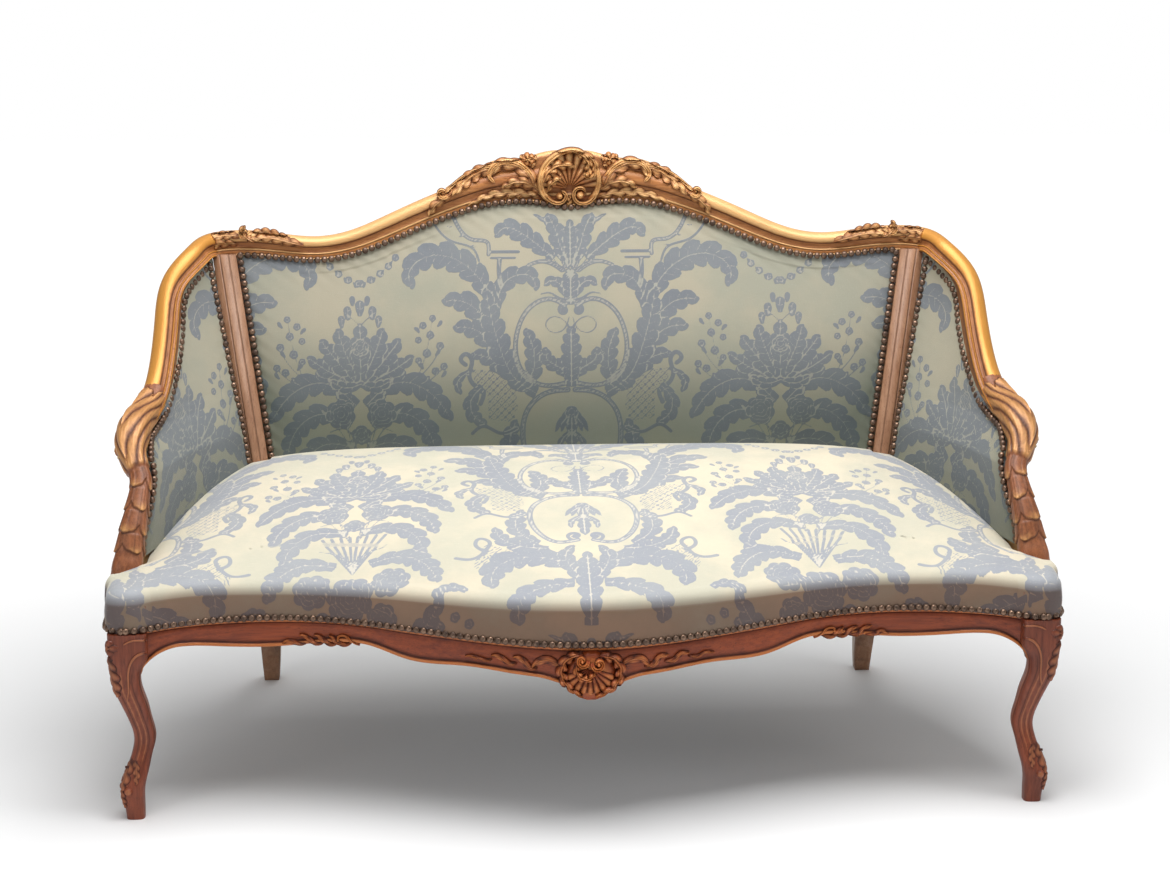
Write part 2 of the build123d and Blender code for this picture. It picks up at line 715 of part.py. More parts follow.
def seat_obstacles(grow):
    """What the seat's upholstery is cut round: wings, arm supports, posts and back."""
    post = Pos(POST_X, POST_Y, RAIL_TOP) * Box(POST_WIDE + 2 * grow, POST_DEEP + 2 * grow, RAIL_TOP)
    back = back_band(back_heights(), BACK_COVER_SET - grow, SOFA_DEPTH / 4, BACK_CROWN, BACK_CROWN)
    return [wing_zone(grow), support_blank(grow), stile(CREST_END[1], grow), post, back]


def frame_envelope(grow):
    """Space of the seat frame and all that it encloses, up to the rails' tops."""
    top = RAIL_TOP + grow
    middle = prism_z(serpentine_band(REBATE - grow, SOFA_DEPTH), 0, top)
    block = LEG_BLOCK - REBATE + 2 * grow
    corner = Pos(FOOT_X - REBATE / 2, FOOT_Y + REBATE / 2, top / 2) * Box(block, block, top)
    side = prism_z(side_rail_plan(-grow, SIDE_BULGE * 3), 0, top)
    return [middle, corner, mirrored(corner), side, mirrored(side)]


def opening_plan(inset):
    """Plan of the space inside the seat rails, inset inside their faces."""
    front_x = BLOCK_IN_X - OPENING_CORNER - inset
    back_x = POST_X - POST_WIDE / 2 - OPENING_CORNER - inset
    back_edge_y = POST_Y - RAIL_THICK / 2 - inset
    count = 8
    xs = [lerp(-front_x, front_x, i / count) for i in range(count + 1)]
    near = [Vector(x, front_y(x) + RAIL_THICK + inset) for x in xs]
    side_end = Vector(back_x, back_edge_y)
    along = (side_end - near[-1]).normalized()
    side_mid = (near[-1] + side_end) * 0.5 + Vector(along.Y, -along.X) * (0.8 * SIDE_BULGE)
    side = ThreePointArc(near[-1], side_mid, side_end)
    return closed_face(
        Spline(*near), side, Line(side_end, (-back_x, back_edge_y)), *mirrored(side).edges()
    )


def spring_dome(grow):
    """Space under the hessian: from the rails' tops, drawn in to the springs' tops."""
    low = Pos(0, 0, RAIL_TOP) * opening_plan(-HESSIAN_LAP - grow)
    high = Pos(0, 0, SPRING_TOP + grow) * opening_plan(HESSIAN_DRAW - grow)
    return loft([low, high], ruled=True)


def cut_seat(body, obstacles):
    *sides, back = obstacles
    for obstacle in sides:
        body -= obstacle
        body -= mirrored(obstacle)
    return main_solid(body - back)


def seat_cover(obstacles):
    """Damask shell over the seat, down to the nail row."""
    outer = seat_body(0, 0) & prism_z(seat_plan(0), 0, SOFA_DEPTH)
    inner = seat_body(COVER_THICK, COVER_THICK) & prism_z(seat_plan(COVER_THICK), 0, SOFA_DEPTH)
    return cut_seat(outer - inner, obstacles)


def seat_stuffing(obstacles):
    """Pad under the cover, over the rails and the hessian."""
    inset = COVER_THICK + STUFF_CLEAR
    body = seat_body(inset, 0) & prism_z(seat_plan(inset), 0, SOFA_DEPTH)
    for space in frame_envelope(STUFF_CLEAR):
        body -= space
    body -= spring_dome(HESSIAN_THICK + STUFF_CLEAR)
    return cut_seat(body, obstacles)


def seat_hessian():
    """Cloth over the springs, drawn over the rails' inner edges and cut round the stiles."""
    right = stile(CREST_END[1], STUFF_CLEAR)
    return spring_dome(HESSIAN_THICK) - spring_dome(0) - right - mirrored(right)


def side_inner_x(y):
    """Inner face of the side rail, measured from the middle, at y."""
    share = (y - BLOCK_BACK_Y) / (POST_FRONT_Y - BLOCK_BACK_Y)
    chord = lerp(BLOCK_OUT_X - SIDE_INSET, POST_X + POST_WIDE / 2, share)
    return chord + 4 * SIDE_BULGE * share * (1 - share) - RAIL_THICK


def evenly(low, high, count):
    return [lerp(low, high, i / (count - 1)) for i in range(count)]


def seat_webbing():
    """Straps tacked under the rails: front to back, and a lower layer from side to side."""
    straps = []
    reach = POST_X - POST_WIDE / 2 - WEB_WIDE
    back_end = POST_Y + RAIL_THICK / 4
    for x in evenly(-reach, reach, SEAT_WEBS_DEEP):
        front_end = max(front_y(x - WEB_WIDE / 2), front_y(x + WEB_WIDE / 2)) + APRON_THICK + 1
        straps.append(
            Pos(x, (front_end + back_end) / 2, RAIL_BOTTOM - WEB_THICK / 2)
            * Box(WEB_WIDE, back_end - front_end, WEB_THICK)
        )
    low_y, high_y = BLOCK_BACK_Y + WEB_WIDE, POST_FRONT_Y - WEB_WIDE
    for y in evenly(low_y, high_y, SEAT_WEBS_LONG):
        half = side_inner_x(y + WEB_WIDE / 2) + RAIL_THICK / 3
        straps.append(Pos(0, y, RAIL_BOTTOM - 1.5 * WEB_THICK) * Box(2 * half, WEB_WIDE, WEB_THICK))
    return straps


def dust_cover():
    """Black cloth under the webbing, tacked to the rails' undersides and notched round the legs."""
    top = RAIL_BOTTOM - 2 * WEB_THICK - STUFF_CLEAR
    low = top - HESSIAN_THICK
    cloth = prism_z(serpentine_band(APRON_THICK + 1, SOFA_DEPTH), low, top)
    side = prism_z(side_rail_plan(RAIL_THICK / 3, SIDE_BULGE * 3), low, top)
    cloth += side + mirrored(side)
    cloth -= Pos(0, POST_Y + RAIL_THICK / 3, top) * Box(
        4 * FOOT_X, 4 * SOFA_DEPTH, RAIL_TOP, align=(Align.CENTER, Align.MIN, Align.CENTER)
    )
    leg_room, post_room = LEG_BLOCK + 2, POST_WIDE + 2
    for x, y, room in ((FOOT_X, FOOT_Y, leg_room), (POST_X, POST_Y, post_room)):
        notch = Pos(x, y, top) * Box(room, room, RAIL_TOP)
        cloth -= notch
        cloth -= mirrored(notch)
    beyond = Pos(POST_X, POST_FRONT_Y, top) * Box(
        4 * SIDE_BULGE, SOFA_DEPTH, RAIL_TOP, align=(Align.MIN, Align.MIN, Align.CENTER)
    )
    return main_solid(cloth - beyond - mirrored(beyond))


def seat_springs():
    """Coils between the webbing and the hessian."""
    height = SPRING_TOP - RAIL_BOTTOM - SPRING_WIRE - 2 * STUFF_CLEAR
    path = Helix(height / SPRING_TURNS, height, SPRING_R)
    wire = Plane(origin=path @ 0, z_dir=path % 0) * Circle(SPRING_WIRE / 2)
    coil = sweep(wire, path=path, is_frenet=True)
    springs = []
    room = SPRING_R + 2 * SPRING_WIRE + HESSIAN_DRAW + 2 * OPENING_CORNER
    back = POST_FRONT_Y - room
    for share in evenly(0, 1, SPRING_ROWS):
        reach = side_inner_x(lerp(front_y(HOLLOW_X) + RAIL_THICK + room, back, share)) - room
        for x in evenly(-reach, reach, SPRINGS_IN_ROW):
            y = lerp(front_y(x) + RAIL_THICK + room, back, share)
            springs.append(Pos(x, y, RAIL_BOTTOM + SPRING_WIRE / 2 + STUFF_CLEAR) * coil)
    return springs


def back_webbing(frame):
    """Straps behind the back's hessian: upright ones, and level ones behind them."""
    first = HESSIAN_THICK + BACK_PAD_BACK + 2 * STUFF_CLEAR
    second = first + WEB_THICK + STUFF_CLEAR
    upright = back_layer(first, first + WEB_THICK, frame)
    level = back_layer(second, second + WEB_THICK, frame)
    reach = POST_X - 2 * WEB_WIDE
    straps = []
    for x in evenly(-reach, reach, BACK_WEBS_HIGH):
        straps.append(upright & Pos(x, 0, 0) * Box(WEB_WIDE, 2 * SOFA_DEPTH, 4 * CREST_TOP))
    low, high = BACK_LOWER_Z[1] + WEB_WIDE, POST_TOP - WEB_WIDE
    for z in evenly(low, high, BACK_WEBS_LONG):
        straps.append(level & Pos(0, 0, z) * Box(4 * SOFA_DEPTH, 2 * SOFA_DEPTH, WEB_WIDE))
    return straps


# ------------------------------------------------------------------ joints and fasteners
def dowel_joints():
    """Right-hand joints of the frame: place, direction, and the way its two dowels stand apart."""
    mid_z = (RAIL_BOTTOM + RAIL_TOP) / 2
    rail_mid = (REBATE + RAIL_THICK) / 2
    inset = SIDE_INSET + RAIL_THICK / 2 + SIDE_INSET
    top_x, top_y = stile_x(POST_TOP), stile_front_y(POST_TOP) + STILE_DEEP / 2
    lower_z = sum(BACK_LOWER_Z) / 2
    crest_joint, arm_joint = moulded_rails()[2:]
    x, y = SUPPORT_CURVE[0][1:3]
    east, north = Vector(1, 0, 0), Vector(0, 1, 0)
    return {
        "front_rail": (Vector(BLOCK_IN_X, front_y(BLOCK_IN_X) + rail_mid + DOWEL_R / 2, mid_z), east, UP),
        "side_rail_front": (Vector(BLOCK_OUT_X - inset, BLOCK_BACK_Y, mid_z), north, UP),
        "side_rail_back": (Vector(POST_X + POST_WIDE / 2 - DOWEL_LONG / 4, POST_FRONT_Y, mid_z), north, UP),
        "back_rail": (Vector(POST_X - POST_WIDE / 2, POST_Y, mid_z), east, UP),
        "back_lower": (
            Vector(stile_x(lower_z) - STILE_WIDE / 2, stile_front_y(lower_z) + STILE_DEEP / 2, lower_z),
            east,
            UP,
        ),
        "crest_post": (Vector(top_x, top_y, POST_TOP - DOWEL_LONG / 4), UP, east),
        "crest_arm": (
            crest_joint.origin - crest_joint.y_dir * (DOWEL_R + 1),
            crest_joint.z_dir,
            crest_joint.y_dir * 0.75,
        ),
        "arm_support": (arm_joint.origin, arm_joint.z_dir, arm_joint.x_dir),
        "support_rail": (Vector(x + SIDE_INSET, POST_Y + y, RAIL_TOP), UP, north),
    }


def dowels(joint, grow=0.0):
    """The joint's two dowels, or, grown, the holes for them."""
    place, direction, apart = joint
    pins = []
    for side in (-0.5, 0.5):
        centre = place + apart * (DOWEL_APART * side)
        plane = Plane(centre, z_dir=direction)
        pins.append(plane * Cylinder(DOWEL_R + grow, DOWEL_LONG + 10 * grow))
    return pins


def drilled(part, joints, *names):
    for name in names:
        for hole in dowels(joints[name], DOWEL_CLEAR):
            part -= hole
    return part


def block_screws(corner_x, corner_y, way, grow=0.0):
    """Two screws through a corner block into the leg or post, square to the block's long face."""
    screws = []
    for side in (-0.5, 0.5):
        z = (RAIL_BOTTOM + RAIL_TOP) / 2 + side * SCREW_APART
        plane = Plane((corner_x, corner_y, z), z_dir=way)
        shank = plane * Cylinder(SCREW_R + grow, SCREW_LONG, align=(Align.CENTER, Align.CENTER, Align.MIN))
        head = plane * Cylinder(
            SCREW_HEAD_R + grow, SCREW_R + grow, align=(Align.CENTER, Align.CENTER, Align.MAX)
        )
        screws.append(shank + head)
    return screws


def corner_block(corner, along_rail, members, screws):
    """Triangular block in a corner of the seat frame, cut to the faces round it and bored for its screws."""
    x, y = corner
    first, second = along_rail
    low = (RAIL_BOTTOM + RAIL_TOP - BLOCK_HIGH) / 2
    plan = closed_face(
        Line((x, y), first), Line(first, second), Line(second, (x, y))
    )
    block = prism_z(plan, low, low + BLOCK_HIGH)
    for member in members:
        block -= member
    for screw in screws:
        block -= screw
    return main_solid(block)


def nail_head():
    """Domed head with a flat back at z = 0."""
    radius = (NAIL_R**2 + NAIL_HIGH**2) / (2 * NAIL_HIGH)
    ball = Pos(0, 0, NAIL_HIGH - radius) * Sphere(radius)
    return ball & Cylinder(2 * NAIL_R, 2 * NAIL_R, align=(Align.CENTER, Align.CENTER, Align.MIN))


def spaced(points, pitch):
    """Places along a run of (point, normal) pairs, evenly apart, as near the pitch as fits."""
    lengths = [0.0]
    for (a, _), (b, _) in zip(points, points[1:]):
        lengths.append(lengths[-1] + (b - a).length)
    count = max(round(lengths[-1] / pitch), 1)
    places, at = [], 0
    for i in range(count + 1):
        target = lengths[-1] * i / count
        while at < len(points) - 2 and lengths[at + 1] < target:
            at += 1
        share = (target - lengths[at]) / (lengths[at + 1] - lengths[at])
        place = lerp(points[at][0], points[at + 1][0], share)
        places.append((place, lerp(points[at][1], points[at + 1][1], share).normalized()))
    return places


def nails(points, cover):
    """Heads along a run, each seated square on the cover."""
    head = nail_head()
    heads = []
    for place, normal in spaced(points, NAIL_PITCH):
        off = place + normal * (2 * NAIL_R)
        near = cover.distance_to_with_closest_points(Vertex(off))[1]
        seat = Vector(near)
        square = (off - seat).normalized()
        heads.append(Plane(seat + square * NAIL_CLEAR, z_dir=square) * head)
    return heads


def seat_nail_run():
    """The seat's nail row, right half: middle of the front, round the leg and along the side."""
    run = []
    count = 24
    for i in range(count + 1):
        x = BLOCK_IN_X * i / count
        slope = (front_y(x + 1) - front_y(x - 1)) / 2
        run.append((Vector(x, seat_front_y(x), nail_z(x)), Vector(slope, -1, 0).normalized()))
    z = nail_z(BLOCK_IN_X)
    for edge in seat_side(0):
        for i in range(1, 13):
            point, along = edge @ (i / 12), edge % (i / 12)
            run.append((Vector(point.X, point.Y, z), Vector(along.Y, -along.X, 0).normalized()))
    return run


def border_run(cover, way, low):
    """Run along the border of the cover's face that looks the given way, set in by a nail's room.
    The border below the height low has no nails."""
    faces = sorted(cover.faces(), key=lambda face: face.area)[-2:]
    face = max(faces, key=lambda face: face.normal_at().dot(way))
    wire = face.outer_wire()
    count = int(wire.length / BORDER_STEP)
    border = [wire @ (i / count) for i in range(count)]
    centre = face.center()
    inset = []
    for i, point in enumerate(border):
        along = (border[(i + 1) % count] - border[i - 1]).normalized()
        normal = face.normal_at(point)
        inset.append((point, normal.cross(along), normal))
    turn = 1 if sum((centre - point).dot(inner) for point, inner, normal in inset) > 0 else -1
    room = NAIL_R + NAIL_EDGE
    run = []
    for point, inner, normal in inset:
        place = point + inner * (turn * room)
        nearest = min(dist(tuple(place), tuple(other)) for other in border)
        keep = point.Z > low + room and nearest > room - NAIL_EDGE
        run.append((place, normal) if keep else None)
    start = next(i for i in range(count) if run[i] is None and run[i - 1] is None and run[(i + 1) % count])
    return [step for step in run[start:] + run[:start] if step]


# ------------------------------------------------------------------ assembly
def corner_pieces(side_rail, front_rail, leg, post, back_rail):
    """Front and back corner blocks of the right side with their screws."""
    front_corner = (FOOT_X, FOOT_Y)
    front_rail_end = Vector(BLOCK_IN_X - BLOCK_LEG, front_y(BLOCK_IN_X - BLOCK_LEG) + RAIL_THICK)
    front_side_end = Vector(side_inner_x(BLOCK_BACK_Y + BLOCK_LEG) + RAIL_THICK / 3, BLOCK_BACK_Y + BLOCK_LEG)
    back_corner = (POST_X, POST_Y)
    back_rail_end = Vector(POST_X - POST_WIDE / 2 - BLOCK_LEG, POST_Y)
    back_side_end = Vector(side_inner_x(POST_FRONT_Y - BLOCK_LEG) + RAIL_THICK / 3, POST_FRONT_Y - BLOCK_LEG)
    pieces = []
    for corner, ends, members in (
        (front_corner, (front_rail_end, front_side_end), (leg, front_rail, side_rail)),
        (back_corner, (back_rail_end, back_side_end), (post, back_rail, side_rail)),
    ):
        middle = (ends[0] + ends[1]) * 0.5
        way = (Vector(*corner) - middle).normalized()
        screws = block_screws(middle.X, middle.Y, way)
        holes = block_screws(middle.X, middle.Y, way, DOWEL_CLEAR)
        pieces.append((corner_block(corner, ends, members, holes), screws, holes))
    return pieces


def build():
    """Every node by name, as lists of solids."""
    joints = dowel_joints()
    nodes = {}

    def pair(name, solids):
        solids = solids if isinstance(solids, list) else [solids]
        nodes[f"{name}_right"] = solids
        nodes[f"{name}_left"] = [mirrored(solid) for solid in solids]

    leg, post = front_leg(), back_post()
    side_rail, back_rail, front_rail = side_seat_rail(), back_seat_rail(), front_seat_rail()
    corners = corner_pieces(side_rail, front_rail, leg, post, back_rail)
    for block, screws, holes in corners:
        for hole in holes:
            leg, post = leg - hole, post - hole
    pair("front_leg", drilled(leg, joints, "front_rail", "side_rail_front"))
    post_joints = ("side_rail_back", "back_rail", "back_lower", "crest_post")
    pair("back_post", drilled(post, joints, *post_joints))
    pair("side_seat_rail", drilled(side_rail, joints, "side_rail_front", "side_rail_back", "support_rail"))

    def both_ends(part, *names):
        part = mirrored(drilled(part, joints, *names))
        return drilled(part, joints, *names)

    nodes["front_seat_rail"] = [both_ends(front_rail, "front_rail")]
    nodes["back_seat_rail"] = [both_ends(back_rail, "back_rail")]
    nodes["back_lower_rail"] = [both_ends(back_lower_rail(), "back_lower")]
    nodes["crest_rail"] = [both_ends(crest_rail(), "crest_post", "crest_arm")]
    pair("arm_rail", drilled(arm_rail(), joints, "crest_arm", "arm_support"))
    pair("arm_support", drilled(arm_support(), joints, "arm_support", "support_rail"))
    for name, (block, screws, holes) in zip(("front_corner_block", "back_corner_block"), corners):
        pair(name, block)
    all_screws = [screw for block, screws, holes in corners for screw in screws]
    nodes["corner_block_screws"] = all_screws + [mirrored(screw) for screw in all_screws]
    pins = [pin for joint in joints.values() for pin in dowels(joint)]
    nodes["frame_dowels"] = pins + [mirrored(pin) for pin in pins]

    nodes["seat_webbing"] = seat_webbing()
    nodes["seat_springs"] = seat_springs()
    nodes["seat_hessian"] = [seat_hessian()]
    obstacles = seat_obstacles(STUFF_CLEAR)
    nodes["seat_stuffing"] = [seat_stuffing(obstacles)]
    nodes["seat_cover"] = [seat_cover(obstacles)]
    nodes["seat_dust_cover"] = [dust_cover()]
    heads = nails(seat_nail_run(), nodes["seat_cover"][0])
    nodes["seat_nails"] = heads + [mirrored(head) for head in heads[1:]]

    frame = back_frame(STUFF_CLEAR)
    stuffing_front = BACK_COVER_SET + COVER_THICK + STUFF_CLEAR
    hessian_front = BACK_PAD_BACK + STUFF_CLEAR
    outside = STILE_DEEP - OUTSIDE_COVER_THICK - STUFF_CLEAR
    nodes["back_cover"] = [
        back_layer(BACK_COVER_SET, BACK_COVER_SET + COVER_THICK, frame, BACK_CROWN, BACK_CROWN)
    ]
    nodes["back_stuffing"] = [back_layer(stuffing_front, BACK_PAD_BACK, frame, BACK_CROWN)]
    nodes["back_hessian"] = [back_layer(hessian_front, hessian_front + HESSIAN_THICK, frame)]
    nodes["back_webbing"] = back_webbing(frame)
    nodes["outside_back_cover"] = [
        back_layer(outside, outside + OUTSIDE_COVER_THICK, frame, low=RAIL_TOP + STUFF_CLEAR)
    ]
    back_run = border_run(nodes["back_cover"][0], FORWARD, BACK_LOWER_Z[1])
    nodes["back_nails"] = nails(back_run, nodes["back_cover"][0])

    members = wing_frame(STUFF_CLEAR)
    lower = WING_LOWER_Z[1] + STUFF_CLEAR
    cover_face = WING_PAD_HALF + STUFF_CLEAR
    pair("wing_lower_rail", wing_lower_rail())
    pair("wing_stuffing", pad_layer(-WING_PAD_HALF, WING_PAD_HALF, lower, members))
    wing_cover = pad_layer(cover_face, cover_face + COVER_THICK, lower, members)
    pair("wing_cover", wing_cover)
    outer = -cover_face - OUTSIDE_COVER_THICK
    pair("outside_wing_cover", pad_layer(outer, -cover_face, WING_LOWER_Z[0], members))
    pair("wing_nails", nails(border_run(wing_cover, Vector(-1, 0, 0), lower), wing_cover))
    return nodes


def main():
    os.makedirs("parts", exist_ok=True)
    for name, solids in build().items():
        shapes = [solid for part in solids for solid in part.solids()]
        export_step(Compound(shapes) if len(shapes) > 1 else shapes[0], f"parts/{name}.step")
        print(name, len(shapes))


if __name__ == "__main__":
    main()
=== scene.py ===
"""Cabriole sofa: carved show-wood frame, nailed damask upholstery, and the plain studio it stands in."""

from __future__ import annotations

import logging
import math
from dataclasses import dataclass, field
from enum import Enum
from typing import Any, Callable, Iterable, Sequence

import bmesh
import bpy
import numpy as np
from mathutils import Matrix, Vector
from mathutils.bvhtree import BVHTree

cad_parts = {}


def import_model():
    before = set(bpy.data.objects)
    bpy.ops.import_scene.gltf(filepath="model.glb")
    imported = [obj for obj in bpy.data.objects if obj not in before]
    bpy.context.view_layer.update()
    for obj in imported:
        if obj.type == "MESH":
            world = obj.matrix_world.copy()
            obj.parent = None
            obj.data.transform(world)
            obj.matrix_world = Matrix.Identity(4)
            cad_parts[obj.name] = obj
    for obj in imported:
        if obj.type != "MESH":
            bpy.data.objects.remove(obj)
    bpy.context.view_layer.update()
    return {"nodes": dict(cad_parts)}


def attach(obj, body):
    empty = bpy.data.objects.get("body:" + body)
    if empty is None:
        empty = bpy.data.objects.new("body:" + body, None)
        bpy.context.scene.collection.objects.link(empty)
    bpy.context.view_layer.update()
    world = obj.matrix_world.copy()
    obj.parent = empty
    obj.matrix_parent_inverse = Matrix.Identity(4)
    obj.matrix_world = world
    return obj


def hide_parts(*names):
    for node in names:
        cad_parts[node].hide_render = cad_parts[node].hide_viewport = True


log = logging.getLogger("sofa")
Array = np.ndarray
Pair = tuple[float, float]
Point = tuple[float, float, float]


# ------------------------------------------------------------------ shared sizes
@dataclass(frozen=True)
class Measures:
    """Sizes in metres that the frame and the upholstery share."""

    front: float = -0.3525
    bow_deep: float = 0.109
    hollow: float = 0.480
    nail_low: float = 0.288
    nail_rise: float = 0.016
    block_in: float = 0.651
    rail_top: float = 0.335
    post_x: float = 0.510
    post_front: float = 0.187
    stile_wide: float = 0.038
    stile_deep: float = 0.035
    lean: float = math.tan(math.radians(8.1))
    rake: float = math.tan(math.radians(10.4))
    back_bow: float = 0.022
    stile_end: float = 0.755
    crest_z: float = 0.9
    pucker: float = 0.0115

    def bow(self, x: Array | float) -> Array | float:
        """How far the serpentine front stands back at x."""
        return self.bow_deep * (1 - np.cos(np.pi * np.asarray(x) / self.hollow)) / 2

    def front_y(self, x: Array | float) -> Array | float:
        """Front face of the seat rail at x."""
        return self.front + self.bow(x)

    def nail_z(self, x: Array | float) -> Array | float:
        """Height of the front nail row at x."""
        return self.nail_low + self.nail_rise * self.bow(x) / self.bow_deep

    def stile_x(self, z: Array | float) -> Array | float:
        """Middle of the right stile at height z."""
        return self.post_x + (np.asarray(z) - self.rail_top) * self.lean

    def stile_y(self, z: Array | float) -> Array | float:
        """Front of the stiles at height z."""
        return self.post_front + (np.asarray(z) - self.rail_top) * self.rake

    def back_y(self, x: Array | float, z: Array | float) -> Array | float:
        """Front of the back frame, bowed between its stiles."""
        return self.stile_y(z) + self.back_bow * (1 - (np.asarray(x) / self.stile_x(z)) ** 2)


SIZE = Measures()
# middle line of the crest rail's right half, in millimetres: x, z, half height
CREST_KEYS = (
    (0, 872, 31), (60, 873, 30), (120, 869, 27), (180, 853, 23), (240, 831, 21.5), (300, 806, 20.5),
    (360, 784, 19), (420, 775, 18.5), (480, 780, 19), (530, 785, 20),
)
CREST_END = (594, 781, 20)
# middle line of the right arm rail, in millimetres: x, y from the posts' line, z
ARM_KEYS = (
    (615, 33, 770), (645, -10, 736), (655, -55, 680), (659, -99, 624), (667, -143, 581), (681, -187, 552),
    (693, -230, 533), (698, -272, 514),
)
# middle line of the right arm support, in millimetres: z, x, y from the posts' line, half across, half deep
SUPPORT_KEYS = (
    (335, 690, -379, 23, 20), (362, 690, -379, 23.5, 20), (374, 688.5, -374, 21.5, 18),
    (402, 685, -362, 19, 17), (434, 679, -344, 16.5, 16), (460, 675, -326, 14.5, 15),
    (482, 674.5, -308, 15, 15.5), (502, 680, -292, 18, 17),
)
POST_Y = 0.208
RAIL_DEEP = 0.018


def spline(knots: Sequence[float], values: Any, at: Any) -> Array:
    """Reads a natural cubic spline.

    Args:
        knots: rising places of the known values.
        values: one row of numbers at each knot.
        at: places to read.

    Returns:
        One row of numbers at each place.
    """
    knots, values, at = np.asarray(knots, float), np.asarray(values, float), np.asarray(at, float)
    flat = values.ndim == 1
    values = values[:, None] if flat else values
    count, gap = len(knots), np.diff(knots)
    system, right = np.eye(count), np.zeros((count, values.shape[1]))
    for i in range(1, count - 1):
        system[i, i - 1 : i + 2] = gap[i - 1], 2 * (gap[i - 1] + gap[i]), gap[i]
        right[i] = 6 * ((values[i + 1] - values[i]) / gap[i] - (values[i] - values[i - 1]) / gap[i - 1])
    bend = np.linalg.solve(system, right)
    k = np.clip(np.searchsorted(knots, at, side="right") - 1, 0, count - 2)
    t, h = (at - knots[k])[:, None], gap[k][:, None]
    slope = (values[k + 1] - values[k]) / h - h * (2 * bend[k] + bend[k + 1]) / 6
    read = values[k] + t * slope + t**2 * bend[k] / 2 + t**3 * (bend[k + 1] - bend[k]) / (6 * h)
    return read[:, 0] if flat else read


def along_line(points: Any) -> Array:
    """Length along a line of points, from its first point."""
    steps = np.linalg.norm(np.diff(np.asarray(points, float), axis=0), axis=1)
    return np.concatenate([[0.0], np.cumsum(steps)])


def smooth_line(points: Any, count: int) -> Array:
    """Evenly spaced points on the smooth curve through a few."""
    lengths = along_line(points)
    return spline(lengths, points, np.linspace(0, lengths[-1], count))


def unit(vectors: Array) -> Array:
    """The vectors at length one."""
    return vectors / np.maximum(np.linalg.norm(vectors, axis=-1, keepdims=True), 1e-12)


def soft_step(x: Any, low: float, high: float) -> Array:
    """Rises smoothly from 0 at low to 1 at high."""
    t = np.clip((np.asarray(x, float) - low) / (high - low), 0, 1)
    return t * t * (3 - 2 * t)


def spiral(centre: Pair, radius: float, start: float, turns: float, wind: float, count: int) -> list[Pair]:
    """Points of a scroll that winds in towards its centre.

    Args:
        centre: the middle of the scroll.
        radius: its reach at the first point.
        start: direction of the first point, in degrees.
        turns: turns to the last point.
        wind: share of the radius that is lost by then.
        count: number of points.

    Returns:
        The points in order.
    """
    path = []
    for i in range(count):
        share = i / (count - 1)
        angle = math.radians(start) + share * turns * math.tau
        reach = radius * (1 - wind * share)
        path.append((centre[0] + reach * math.cos(angle), centre[1] + reach * math.sin(angle)))
    return path


def places_on(side: int) -> Callable[..., list[Pair]]:
    """A function that turns millimetres into metres, on the right half for 1 and the left half for -1."""

    def at(*points: Pair) -> list[Pair]:
        """The places in metres."""
        return [(side * x / 1000, z / 1000) for x, z in points]

    return at


# ------------------------------------------------------------------ meshes
def placed(name: str, data: Any) -> bpy.types.Object:
    """An object of this name with its data, linked to the scene."""
    made = bpy.data.objects.new(name, data)
    bpy.context.collection.objects.link(made)
    return made


def sharp_edges(edit: bmesh.types.BMesh, crease: float) -> list[bmesh.types.BMEdge]:
    """The edges whose two faces meet at more than this many degrees."""
    limit = math.radians(crease)
    return [edge for edge in edit.edges if len(edge.link_faces) == 2 and edge.calc_face_angle(0.0) > limit]


def freeze(piece: bpy.types.Object) -> None:
    """Turns what a piece's modifiers make into its plain mesh."""
    graph = bpy.context.evaluated_depsgraph_get()
    made = bpy.data.meshes.new_from_object(piece.evaluated_get(graph))
    piece.modifiers.clear()
    piece.data = made


@dataclass
class Stock:
    """Points, faces and named values of a piece that is being made."""

    points: list[Array] = field(default_factory=list)
    faces: list[list[int]] = field(default_factory=list)
    marks: dict[str, list[Array]] = field(default_factory=dict)
    total: int = 0

    def add(self, points: Array, faces: Iterable[Sequence[int]], **marks: Any) -> None:
        """Adds a part.

        Args:
            points: n rows of x, y, z.
            faces: corners, counted from the part's own first point.
            marks: values for each point, such as relief; a name left out is 0 on this part.
        """
        points = np.asarray(points, float).reshape(-1, 3)
        for name in set(self.marks) | set(marks):
            if name not in self.marks:
                self.marks[name] = [np.zeros(self.total)] if self.total else []
            value = marks.get(name, 0.0)
            self.marks[name].append(np.broadcast_to(np.asarray(value, float).ravel(), (len(points),)))
        self.points.append(points)
        self.faces.extend([[int(i) + self.total for i in face] for face in faces])
        self.total += len(points)

    def join(self, other: "Stock") -> None:
        """Adds every part of another stock."""
        marks = {name: np.concatenate(parts) for name, parts in other.marks.items()}
        self.add(np.concatenate(other.points), other.faces, **marks)

    def mirrored(self) -> "Stock":
        """The same part on the other side of the sofa's middle."""
        other = Stock(total=self.total)
        other.points = [part * (-1, 1, 1) for part in self.points]
        other.faces = [face[::-1] for face in self.faces]
        other.marks = {name: list(parts) for name, parts in self.marks.items()}
        return other

    def piece(self, name: str, crease: float | None = 50.0) -> bpy.types.Object:
        """Makes the object.

        Args:
            name: the piece's name.
            crease: faces that meet at more than this many degrees stay sharp; None keeps all smooth.

        Returns:
            The object, with its normals outward.
        """
        mesh = bpy.data.meshes.new(name)
        mesh.from_pydata(np.concatenate(self.points).tolist(), [], self.faces)
        for mark, parts in self.marks.items():
            layer = mesh.attributes.new(mark, "FLOAT", "POINT")
            layer.data.foreach_set("value", np.concatenate(parts).astype(np.float32))
        edit = bmesh.new()
        edit.from_mesh(mesh)
        bmesh.ops.recalc_face_normals(edit, faces=edit.faces)
        for face in edit.faces:
            face.smooth = True
        for edge in sharp_edges(edit, crease) if crease is not None else ():
            edge.smooth = False
        edit.to_mesh(mesh)
        edit.free()
        return placed(name, mesh)


